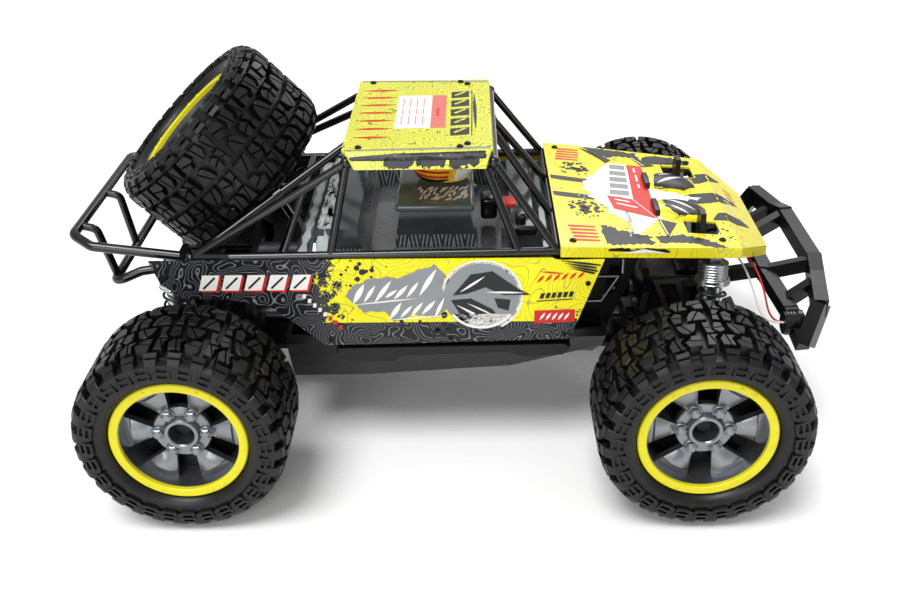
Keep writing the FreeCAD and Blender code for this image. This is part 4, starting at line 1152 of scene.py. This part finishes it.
@dataclass
class Hood:
    """Slashes, stripes, a torn white burst, leaning panels and two vented bulges on the hood."""

    bulge_x: tuple[float, float] = (118.0, 150.0)
    bulge_y: tuple[float, float] = (6.0, 33.0)
    bulge_rise: float = 5.0

    def film(self, name: str, finish: Finish, outlines: list[Outline], lift: float = 0.12,
             side: Side = Side.TOP) -> None:
        """Lays one film on the hood."""
        Film(f"hood_{name}", "hood_panel", side, finish, outlines, lift).build()

    def ground(self) -> None:
        """Dark stripes and torn areas nearest to the yellow."""
        self.film("stripes", INK_DARK, [
            torn([(59.6, 22.4), (59.6, 17.0), (84, 12.5), (86, 17.5)], 0.7, 3),
            torn([(59.6, -2.4), (59.6, -8.2), (83, -11.5), (84, -6.0)], 0.7, 4)])
        self.film("patches", INK_DARK, splatter((75.5, 35.0), 11.5, 46, 5, 2.6)
                  + splatter((77.5, -24.5), 12.0, 50, 6, 2.8))
        areas = [
            torn([(84, 73), (118, 67), (120, 56), (108, 60), (98, 57), (90, 64)], 1.6, 7),
            torn([(81, 71.5), (97, 60), (95.5, 50), (90, 58)], 0.4, 8),
            torn([(83, -46), (96, -52), (108, -55), (110, -66), (84, -70)], 2.2, 9),
            torn([(112, -57), (128, -52), (141, -56), (152, -66), (146, -68), (134, -62), (114, -64)],
                 1.4, 10),
            torn([(136, 20), (152, 24), (168, 36), (160, 40), (146, 34), (134, 30)], 1.4, 11),
            torn([(140, -8), (158, -4), (172, 6), (168, 12), (152, 8), (140, 3)], 1.2, 12),
            torn([(150, -30), (164, -28), (174, -22), (170, -16), (156, -20)], 1.2, 13),
            torn([(122, 50), (136, 54), (150, 52), (148, 60), (132, 64), (122, 60)], 1.6, 14)]
        self.film("tears", INK_DARK, areas)
        self.film("flecks", INK_DARK,
                  splatter((104, -58), 16, 24, 15, 1.5) + splatter((150, -44), 16, 22, 16, 1.6)
                  + splatter((140, 58), 14, 18, 17, 1.5))

    def burst(self) -> None:
        """The torn white burst with its leaning panels and pointed shards."""
        burst = [(77.5, 6), (83, 22), (91, 35), (97, 47), (108, 40), (122, 16), (138, 4), (150, 1),
                 (139, -5),
                 (126, -10), (120, -32), (111, -46), (98, -60), (103, -44), (92, -30), (83, -10)]
        self.film("burst", INK_WHITE, [torn(burst, 2.4, 21, 1.8)] + splatter((88, -4), 17, 26, 22, 1.3),
                  0.24)
        self.film("panel_ground", INK_WHITE, [[(97.6, 46), (109, 45.4), (106, -5), (91.6, -4)]], 0.36)
        bars = []
        for i in range(5):
            top = 44.0 - 10.0 * i
            lean = 1.1 * i
            bars.append([(98.6 - lean, top), (108.2 - lean * 0.55, top - 0.6),
                         (107.6 - lean * 0.55, top - 7.4), (98.0 - lean, top - 6.6)])
        self.film("panel_bars", INK_GREY, bars, 0.48)
        self.film("panel_long", INK_RED, [[(109.8, 45.4), (119, 44.6), (117.8, -33), (106.8, -8)]], 0.36)
        self.film("panel_short", INK_RED, [[(91.6, -5), (106, -8.4), (117, -33.4), (93.4, -23)]], 0.48)
        slits = [bar((95.5, -10.2), (104, -12.8), 1.5), bar((96, -15.6), (107.5, -20.2), 1.5),
                 bar((113.6, 40), (113.2, 33), 1.2), bar((113.4, 29), (113, 19), 1.2),
                 bar((113, 15), (112.8, 9), 1.2)]
        self.film("panel_slits", INK_WHITE, slits, 0.60)
        shards = [[(117.6, -34), (119.5, -57), (127.6, -38)], [(120, 44), (113, 61), (128, 47)],
                  [(96.5, 47), (88, 66), (100.5, 52)]]
        self.film("shards", INK_DARK, shards, 0.48)
        self.film("shard_edges", INK_WHITE,
                  [bar((118.4, -36), (120.0, -54), 0.7), bar((121, 45), (114.5, 58), 0.7)], 0.60)

    def slashes(self) -> None:
        """Five red slashes at each rear corner, and torn marks on the rolled hem."""
        for face in (-1, 1):
            rows = [bar((64.5 + 0.6 * i, face * (49.5 + 4.3 * i)),
                        (79.5 + 0.3 * i, face * (49.0 + 4.3 * i)), 2.7, 1.9) for i in range(5)]
            self.film(f"slashes_{'right' if face < 0 else 'left'}", INK_RED, rows)
        for side in (Side.RIGHT, Side.LEFT):
            self.film(f"hem_dark_{side.name.lower()}", INK_DARK, [
                torn([(84, 130.6), (98, 130.0), (119, 127.2), (112, 131.2), (86, 132.8)], 0.5, 31, 1.2)],
                0.12, side)
            self.film(f"hem_white_{side.name.lower()}", INK_WHITE,
                      [[(92, 128.6), (108, 127.8), (118, 126.8), (104, 130.4)]], 0.24, side)

    def bulges(self) -> None:
        """Two blown bulges, each with a dark slab across its mouth as painted shade for the vent opening,
        and dark and pale strokes over it.
        """
        low, high = self.bulge_x
        near, far = self.bulge_y
        for face, tag in ((-1, "right"), (1, "left")):
            mesh = bmesh.new()
            rings = []
            for i in range(9):
                share = i / 8
                x = low + (high - low) * share
                swell = self.bulge_rise * math.sin(math.pi * min(1.0, 0.22 + share * 0.78)) ** 0.8
                half = (far - near) / 2 * (0.72 + 0.28 * math.sin(math.pi * share))
                middle = face * (near + far) / 2
                foot = landing("hood_panel", Side.TOP, (x, middle))
                base = foot.z if foot else 130.0
                section = [Vector((x, middle - half * math.cos(a), base - 0.5 + swell * math.sin(a)))
                           for a in (math.pi * k / 12 for k in range(13))]
                rings.append(section)
            skin(mesh, rings)
            publish(f"hood_bulge_{tag}", mesh, SHELL, "chassis")
            # Painted shade: a dark slab closes the front of each bulge, standing for the shade inside the
            # vent opening.
            mesh = bmesh.new()
            middle = face * (near + far) / 2
            foot = landing("hood_panel", Side.TOP, (low + 1.5, middle))
            mouth = [(middle - 10.5, foot.z - 0.4), (middle + 10.5, foot.z - 0.4),
                     (middle + 8.4, foot.z + 3.4), (middle, foot.z + 4.4), (middle - 8.4, foot.z + 3.4)]
            pillow(mesh, mouth, low - 1.2, low + 1.6, 0.1, 0.3, lambda a, b, h: Vector((h, a, b)))
            publish(f"hood_vent_shade_{tag}", mesh, INK_DARK, "chassis")
            outline = [torn([(122, face * 9), (140, face * 8), (148, face * 16), (144, face * 28),
                             (130, face * 31), (124, face * 24)], 0.9, 50 + face)]
            self.bulge_film(f"hood_bulge_print_{tag}", outline, face)

    def bulge_film(self, name: str, outlines: list[Outline], face: int) -> None:
        """Dark and pale strokes over a bulge.

        Args:
            name: The first piece's name.
            outlines: The dark areas.
            face: 1 on the left, -1 on the right.
        """
        tag = "left" if face > 0 else "right"
        bulge = bpy.data.objects[f"hood_bulge_{tag}"]
        SURFACES[bulge.name] = BVHTree.FromPolygons([v.co.copy() for v in bulge.data.vertices],
                                                    [tuple(p.vertices) for p in bulge.data.polygons])
        Film(name, bulge.name, Side.TOP, INK_DARK, outlines, 0.14).build()
        Film(f"hood_bulge_gleam_{tag}", bulge.name, Side.TOP, INK_WHITE,
             [leaf((124, face * 12), (141, face * 24), 2.6), leaf((126, face * 22), (136, face * 29), 1.6)],
             0.26).build()

    def build(self) -> None:
        """Lays every print, blows the bulges and sets the screws."""
        self.ground()
        self.burst()
        self.slashes()
        self.bulges()
        nose = [bar((168, y), (172.5, y - 3), 1.1) for y in (26, 20, 14, 8)]
        self.film("nose_marks", INK_RED, nose, 0.24)
        self.film("nose_dashes", INK_WHITE,
                  [bar((164, y), (169, y - 3.5), 1.3) for y in (12, 5, -2, -9)], 0.24)
        Screws("hood_screws", "hood_panel", Side.TOP,
               [(65.5, -68.5), (65.5, 68.5), (150, -56), (150, 56)], 2.0).build()


@dataclass
class Flank:
    """Prints and screws on one side panel; both sides carry the same ones."""

    side: Side
    disc: tuple[float, float] = (15.6, 104.2)
    disc_radius: float = 20.8
    rail_out: float = 60.9
    rail_radius: float = 0.6

    def film(self, name: str, finish: Finish, outlines: list[Outline], lift: float = 0.12) -> None:
        """Lays one film on the panel."""
        Film(f"flank_{name}_{self.side.name.lower()}", "side_panels", self.side, finish, outlines,
             lift).build()

    def bars(self) -> None:
        """Five leaning bars at the rear, each with a red shadow, and a row of small ones under them."""
        starts = [-141.0 + 12.6 * i for i in range(5)]
        self.film("bar_shadows", INK_RED, [slanted((x + 0.9, 108.2), 9.8, 9.6, 3.0) for x in starts])
        self.film("bars", INK_WHITE, [slanted((x, 109.4), 9.6, 9.6, 3.0) for x in starts], 0.24)
        self.film("bar_cut", INK_DARK, [bar((x + 2.6, 110.6), (x + 9.8, 117.6), 1.1) for x in starts], 0.36)
        row = [(-84.0 + 2.7 * i, 104.0 - 2.9 * i) for i in range(8)]
        self.film("row_pale", INK_WHITE, [slanted(spot, 1.9, 2.6, 0.5) for spot in row[:5]], 0.24)
        self.film("row_red", INK_RED, [slanted(spot, 1.9, 2.8, 0.5) for spot in row[5:]], 0.24)

    def blob(self) -> None:
        """A torn grey cloud with free white brush strokes."""
        cloud = [(-60, 105), (-54, 113), (-42, 117), (-30, 116), (-20, 121), (-10, 124), (-4, 119),
                 (-6, 110), (-3, 98), (-10, 91), (-22, 93), (-34, 88), (-38, 95), (-50, 95)]
        self.film("cloud", INK_GREY, [torn(cloud, 1.0, 71, 2.0)], 0.24)
        strokes = [leaf((-56, 100), (-49, 113), 3.2), leaf((-50, 101), (-43, 112), 2.2),
                   leaf((-44, 101), (-34, 115), 2.6),
                   leaf((-38, 104), (-31, 109), 2.0), leaf((-33, 103), (-25, 112), 2.4),
                   leaf((-26, 104), (-19, 114), 2.2),
                   leaf((-19, 105), (-9, 122), 2.8), leaf((-36, 90), (-29, 101), 2.8),
                   leaf((-30, 91), (-23, 99), 2.0),
                   leaf((-24, 92), (-17, 101), 2.2), leaf((-18, 93), (-10, 102), 2.4),
                   leaf((-11, 90), (-5, 104), 2.0),
                   leaf((-57, 99.5), (-20, 103.5), 0.9), leaf((-37, 89.5), (-4, 92.5), 0.9)]
        self.film("strokes", INK_WHITE, strokes, 0.36)

    def emblem(self) -> None:
        """A grey disc in a pale ring, cut by dark blades."""
        middle, radius = self.disc, self.disc_radius
        x, z = middle
        self.film("ring", INK_WHITE, [arc(middle, radius + 2.0, radius + 1.2, -60, 250)], 0.18)
        self.film("disc", INK_GREY, [polygon(48, radius, middle)], 0.30)
        blades = [[(x - 16, z + 1), (x - 6, z + 14), (x + 6, z + 16), (x + 20, z + 5), (x + 27, z + 1),
                   (x + 12, z + 1), (x + 2, z + 6), (x - 8, z + 2)],
                  [(x - 17, z - 2), (x - 6, z - 1), (x + 6, z - 8), (x + 12, z - 16), (x + 2, z - 19),
                   (x - 10, z - 15)],
                  [(x + 7, z - 1), (x + 16, z - 2), (x + 15, z - 9), (x + 9, z - 7)]]
        self.film("blades", INK_DARK, blades, 0.42)
        gleams = [leaf((x - 12, z + 3), (x + 2, z + 13), 1.4), leaf((x + 2, z + 3), (x + 24, z + 2.4), 1.2),
                  leaf((x - 14, z - 5), (x + 4, z - 16), 1.4), leaf((x - 8, z - 4), (x + 7, z - 12), 0.9),
                  arc(middle, radius - 0.4, radius - 1.8, 215, 110)]
        self.film("gleams", INK_WHITE, gleams, 0.54)

    def corner(self) -> None:
        """Short red strokes, dark dashes and a red tag at the front."""
        dashes = [leaf((46 + 4.4 * i, 112.6 + 0.5 * i), (50 + 4.4 * i, 117.4 + 0.4 * i), 1.5)
                  for i in range(6)]
        self.film("dashes_red", INK_RED, dashes + [leaf((47, 119.6), (61, 118.2), 1.0)], 0.24)
        self.film("dashes_dark", INK_DARK, [slanted((47.5 + 3.2 * i, 102.6 + 0.2 * i), 2.2, 3.4, 1.0)
                                            for i in range(6)] + [bar((46, 101), (66, 102.2), 0.6)], 0.24)
        self.film("tag", INK_RED, [[(45.0, 86.6), (67.6, 87.6), (67.6, 95.6), (45.0, 95.0)]], 0.24)
        self.film("tag_strokes", INK_WHITE,
                  [leaf((48 + 3.4 * i, 88.8), (51 + 3.4 * i, 93.6), 1.4) for i in range(5)], 0.36)
        self.film("streaks", INK_DARK, [leaf((58 + 2 * i, 126.2 - 1.5 * i), (86, 122.4 - 2.2 * i), 1.3)
                                        for i in range(4)] + splatter((-50, 121), 14, 26, 75, 2.0)
                  + splatter((-8, 86.5), 40, 36, 76, 2.4) + splatter((60, 86), 12, 16, 77, 1.8), 0.18)

    def fender_rails(self) -> None:
        """Bright edge rails on the frame between the panel and the front wheel."""
        mesh = bmesh.new()
        out = self.rail_out if self.side is Side.LEFT else -self.rail_out
        for route in (((74, 108), (93, 108), (84, 92), (68, 92)), ((95, 110), (95, 119))):
            path = [Vector((x, out, z)) for x, z in route]
            for start, end in zip(path, path[1:]):
                sweep(mesh, [start, start.lerp(end, 0.5), end], self.rail_radius)
        publish(f"fender_rails_{self.side.name.lower()}", mesh, ZINC_STEEL, "chassis")

    def build(self) -> None:
        """Lays every print and sets the screws."""
        self.fender_rails()
        self.bars()
        self.blob()
        self.emblem()
        self.corner()
        Screws(f"flank_screws_{self.side.name.lower()}", "side_panels", self.side,
               [(-158, 119), (-70, 77), (-2, 77.5), (62, 79.5), (74, 112)], 1.5, 1.0).build()


# ---------------------------------------------------------------- cockpit and front end

@dataclass
class Cockpit:
    """Seat lips, dash fittings, a flange whose pale grey is painted reflection, and brushed marks in the
    formed tray.
    """

    def rounded(self, name: str, finish: Finish, low: Spot, high: Spot, radius: float = 2.0) -> None:
        """A block with rounded edges between two corners.

        Args:
            name: The piece's name.
            finish: What it is made of.
            low: Its lowest corner.
            high: Its highest corner.
            radius: How round its edges are.
        """
        mesh = bmesh.new()
        outline = [(low[0], low[1]), (high[0], low[1]), (high[0], high[1]), (low[0], high[1])]
        skin(mesh, [[Vector((x, y, low[2])) for x, y in outline],
                    [Vector((x, y, high[2])) for x, y in outline]])
        bmesh.ops.recalc_face_normals(mesh, faces=mesh.faces)
        bmesh.ops.bevel(mesh, geom=mesh.edges[:], offset=radius, segments=4, profile=0.5, affect="EDGES")
        publish(name, mesh, finish, "chassis")

    def build(self) -> None:
        """Makes every fitting."""
        self.rounded("seat_lip_front", LINER, (-34, -50, 111), (15, -42, 119), 3.0)
        self.rounded("seat_lip_rear", LINER, (-34, 42, 111), (15, 50, 119), 3.0)
        self.rounded("seat_back_rib", SEAT_SHELL, (-33, -39, 138), (12, 39, 143), 2.2)
        self.rounded("dash_switch", INK_RED, (28.6, -20, 131.5), (36.6, -8, 134.6), 0.8)
        self.rounded("receiver_box", GLOSS_ABS, (31, -56, 131), (47, -38, 137), 2.0)
        self.rounded("receiver_knob", GLOSS_ABS, (35, -50, 136), (41, -44, 142), 1.5)
        self.rounded("wheel_column", GLOSS_ABS, (16, -7, 118), (26, 7, 132), 2.5)
        # Pale grey film on the tray's rear flange: painted reflection, standing for white light mirrored in
        # its clear plastic.
        flange = [(-88, -68.4), (-68, -68.4), (-70, -61), (-79.5, -54), (-79.5, 54), (-70, 61),
                  (-68, 68.4), (-88, 68.4)]
        Film("tray_flange_painted_reflection", "cockpit_tray", Side.TOP, PALE_REFLECTION_FILM, [flange], 0.15).build()
        chance = random.Random(5)
        strokes = []
        for row in range(4):
            for i in range(10):
                x, y = -21 + 2.9 * i + 2.4 * chance.random(), -34 + 4.4 * row + 3.0 * chance.random()
                strokes.append(leaf((x, y), (x + 1 + 3 * chance.random(), y + 4.0 + 3 * chance.random()),
                                    1.5))
        Film("seat_marks", "cockpit_tray", Side.TOP, INK_WHITE, strokes, 2.2).build()
        Screws("tray_screws", "cockpit_tray", Side.TOP, [(-77, -64.5), (-77, 64.5), (20, -64), (20, 64)],
               1.6).build()


@dataclass
class Driver:
    """A blank helmet with a dark visor, a peak, a pale chin guard and red bands."""

    centre: Spot = (-8.0, 0.0, 160.2)
    radius: float = 19.0

    def patch(self, name: str, finish: Finish, turn: tuple[float, float], rise: tuple[float, float],
              lift: float, thickness: float, stretch: Spot = (1.0, 1.0, 1.0)) -> None:
        """A thick curved patch of the helmet's ball.

        Args:
            name: The piece's name.
            finish: What it is made of.
            turn: Its ends round the helmet, in degrees from straight ahead.
            rise: Its lower and upper edges, in degrees.
            lift: How far its outside stands off the ball.
            thickness: Its thickness.
            stretch: How much the ball is stretched along each axis.
        """
        mesh = bmesh.new()
        columns, rows = 24, 8
        grid = []
        for depth in (lift, lift - thickness):
            sheet = []
            for i in range(columns + 1):
                angle = math.radians(turn[0] + (turn[1] - turn[0]) * i / columns)
                line = []
                for j in range(rows + 1):
                    tilt = math.radians(rise[0] + (rise[1] - rise[0]) * j / rows)
                    reach = self.radius + depth
                    spot = Vector((math.cos(tilt) * math.cos(angle) * stretch[0],
                                   math.cos(tilt) * math.sin(angle) * stretch[1],
                                   math.sin(tilt) * stretch[2]))
                    line.append(Vector(self.centre) + spot * reach)
                sheet.append(line)
            grid.append(sheet)
        rings = [grid[0][i] + grid[1][i][::-1] for i in range(columns + 1)]
        skin(mesh, rings)
        publish(name, mesh, finish, "chassis")

    def build(self) -> None:
        """Makes the helmet's parts."""
        self.patch("visor", VISOR, (-62, 62), (-12, 24), 0.5, 1.2)
        self.patch("visor_frame_upper", GLOSS_ABS, (-66, 66), (24, 30), 0.9, 1.6)
        self.patch("chin_guard", INK_WHITE, (-58, 58), (-40, -14), 2.2, 3.0, (1.08, 1.0, 1.0))
        self.patch("peak", HELMET, (-44, 44), (30, 40), 6.0, 1.4, (1.12, 1.0, 1.0))
        for i, rise in enumerate(((-34, -29), (-22, -17), (-9, -4), (6, 11), (44, 50), (60, 66))):
            self.patch(f"helmet_band_{i}", INK_RED, (72, 288), rise, 0.35, 0.6)
        self.patch("helmet_edge", GLOSS_ABS, (64, 296), (-46, -40), 0.8, 1.4)


@dataclass
class FrontEnd:
    """Lamp lenses and bezels, and the leads that feed them."""

    lamp_x: float = 196.0
    lamp_y: float = 70.0
    lamp_z: float = 82.0
    lamp_radius: float = 6.5
    lead_radius: float = 0.6

    def lamp(self, face: int) -> None:
        """A turned bezel with cooling fins round a domed lens.

        Args:
            face: 1 for the left lamp, -1 for the right one.
        """
        tag = "left" if face > 0 else "right"
        place = facing(Vector((1, 0, 0)), (self.lamp_x, face * self.lamp_y, self.lamp_z))
        mesh = bmesh.new()
        r = self.lamp_radius
        revolve(mesh, [(-3.0, r - 0.4), (-3.0, r + 0.5), (-2.4, r + 0.9), (0.4, r + 0.9), (0.9, r + 0.4),
                       (0.9, r - 1.0), (0.1, r - 1.0)], 48)
        for fin in (-8.6, -6.8, -5.0):
            revolve(mesh, [(fin, r - 0.4), (fin, r + 0.5), (fin + 0.8, r + 0.5), (fin + 0.8, r - 0.4)], 40)
        publish(f"lamp_bezel_{tag}", mesh, GLOSS_ABS, "chassis", place)
        mesh = bmesh.new()
        dome = [(-0.6, 0.0), (-0.6, r - 0.9)] + [(0.2 + 1.6 * math.sin(a), (r - 0.9) * math.cos(a))
                                                 for a in (math.pi / 2 * k / 6 for k in range(7))]
        revolve(mesh, dome, 40)
        publish(f"lamp_lens_{tag}", mesh, LENS, "chassis", place)

    def lead(self, name: str, finish: Finish, route: list[Spot], radius: float,
             node: str | None = None) -> None:
        """A soft lead along one smooth curve.

        Args:
            name: The piece's name.
            finish: Its insulation.
            route: Its control points in millimetres.
            radius: Its radius.
            node: The CAD node it stands for.
        """
        data = bpy.data.curves.new(name, "CURVE")
        data.dimensions = "3D"
        data.resolution_u = 16
        data.bevel_depth = radius * MM
        data.bevel_resolution = 4
        data.use_fill_caps = True
        line = data.splines.new("NURBS")
        line.points.add(len(route) - 1)
        for point, spot in zip(line.points, route):
            point.co = (*(Vector(spot) * MM), 1.0)
        line.order_u = 3
        line.use_endpoint_u = True
        data.materials.append(finish.material())
        piece = bpy.data.objects.new(name, data)
        bpy.context.scene.collection.objects.link(piece)
        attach(piece, "chassis")
        if node:
            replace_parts(piece, node)
        tuple(Vector(route[0]) * MM)
        self.curve_length(piece)

    def curve_length(self, piece: bpy.types.Object) -> float:
        """Length of a lead's own smooth line.

        Args:
            piece: The lead.

        Returns:
            Its length in metres, without its thickness.
        """
        bare = bpy.data.objects.new("bare_line", piece.data.copy())
        bare.data.bevel_depth = 0.0
        line = bpy.data.meshes.new_from_object(bare)
        spots = [v.co.copy() for v in line.vertices]
        bpy.data.meshes.remove(line)
        bpy.data.objects.remove(bare)
        return sum((b - a).length for a, b in zip(spots, spots[1:]))

    def build(self) -> None:
        """Makes both lamps and the leads."""
        for face in (-1, 1):
            self.lamp(face)
        red = [(163, -34, 112), (170, -42, 111), (177, -54, 98), (179, -69, 82), (186, -69, 82)]
        self.lead("lamp_lead_red", LEAD_PVC, red, self.lead_radius, "lamp_lead")
        pale = [(160, -33, 111), (166, -40, 108), (171, -54, 97), (174, -66, 85), (180, -71.5, 83),
                (187, -71.5, 83)]
        self.lead("lamp_lead_pale", LEAD_PALE, pale, self.lead_radius)


# ---------------------------------------------------------------- studio

@dataclass
class Studio:
    """Pale floor, soft lights and the camera."""

    eye: Spot = (9.57, -577.5, 389.7)
    yaw: float = -1.317
    pitch: float = 29.825
    roll: float = -1.146
    lens: float = 41.66
    sensor: float = 36.0

    def camera(self) -> None:
        """Places the camera and makes it the scene's own."""
        yaw, pitch, roll = (math.radians(a) for a in (self.yaw, self.pitch, self.roll))
        ahead = Vector((math.sin(yaw) * math.cos(pitch), math.cos(yaw) * math.cos(pitch), -math.sin(pitch)))
        level = Vector((math.cos(yaw), -math.sin(yaw), 0.0))
        right = level * math.cos(roll) + level.cross(ahead) * math.sin(roll)
        turn = Matrix((right, right.cross(ahead), -ahead)).transposed().to_4x4()
        data = bpy.data.cameras.new("camera")
        data.lens = self.lens
        data.sensor_width = self.sensor
        camera = bpy.data.objects.new("camera", data)
        camera.matrix_world = Matrix.Translation(Vector(self.eye) * MM) @ turn
        bpy.context.scene.collection.objects.link(camera)
        bpy.context.scene.camera = camera

    def lamp(self, name: str, spot: Spot, power: float, width: float) -> None:
        """A square soft light that looks at the buggy.

        Args:
            name: Its name.
            spot: Where it hangs, in millimetres.
            power: Its power in watts.
            width: Its side in millimetres.
        """
        data = bpy.data.lights.new(name, "AREA")
        data.energy = power
        data.size = width * MM
        lamp = bpy.data.objects.new(name, data)
        lamp.matrix_world = facing(Vector(spot) - Vector((0, 0, 80)), Vector(spot) * MM)
        bpy.context.scene.collection.objects.link(lamp)

    def sun(self, name: str, direction: Spot, power: float, spread: float) -> None:
        """An even light over the whole floor.

        Args:
            name: Its name.
            direction: Where it stands from the buggy.
            power: Its power in watts on each square metre.
            spread: Its apparent width in degrees; wide gives soft shadows.
        """
        data = bpy.data.lights.new(name, "SUN")
        data.energy = power
        data.angle = math.radians(spread)
        lamp = bpy.data.objects.new(name, data)
        lamp.matrix_world = facing(Vector(direction), (0.0, 0.0, 1.0))
        bpy.context.scene.collection.objects.link(lamp)

    def build(self) -> None:
        """Makes floor, world, lights and camera."""
        mesh = bmesh.new()
        pillow(mesh, polygon(64, 6000.0), -12.0, -0.05, 0.0, 0.0)
        publish("floor", mesh, BACKDROP, None)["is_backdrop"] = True
        world = bpy.data.worlds.new("studio")
        world.use_nodes = True
        world.node_tree.nodes["Background"].inputs["Color"].default_value = (1.0, 1.0, 1.0, 1.0)
        world.node_tree.nodes["Background"].inputs["Strength"].default_value = 0.5
        bpy.context.scene.world = world
        bpy.context.scene.view_settings.view_transform = "Standard"
        self.sun("overhead", (-0.25, -0.35, 1.0), 2.3, 30.0)
        self.lamp("back", (300, 700, 800), 4.0, 600)
        self.lamp("fill", (-300, -1000, 500), 3.0, 500)
        self.camera()


def main() -> None:
    """Builds every sub-assembly in order."""
    logging.basicConfig(level=logging.INFO, format="%(name)s: %(message)s")
    Studio().build()
    Structure().dress()
    for corner in CORNERS:
        side = 1 if corner[1] == "l" else -1
        end = 1 if corner[0] == "f" else -1
        axle_x = 131.8 if end > 0 else -143.8
        outward = facing(Vector((0, side, 0)), (axle_x, side * 120.0, 57.0))
        Wheel(corner, f"wheel_{corner}", outward, f"rim_{corner}", f"tyre_{corner}").build()
        Damper(corner, axle_x, end, side).build()
    lean = math.radians(42.6)
    Wheel("spare", "chassis", facing(Vector((-math.sin(lean), -0.09, math.cos(lean))), (-137.5, 0, 164.5)),
          "spare_wheel").build()
    Roof().build()
    Hood().build()
    for side in (Side.RIGHT, Side.LEFT):
        Flank(side).build()
    Cockpit().build()
    Driver().build()
    FrontEnd().build()


if __name__ == "__main__":
    main()
    [[list(corner) for corner in box] for box in (CAD_BOX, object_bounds())]
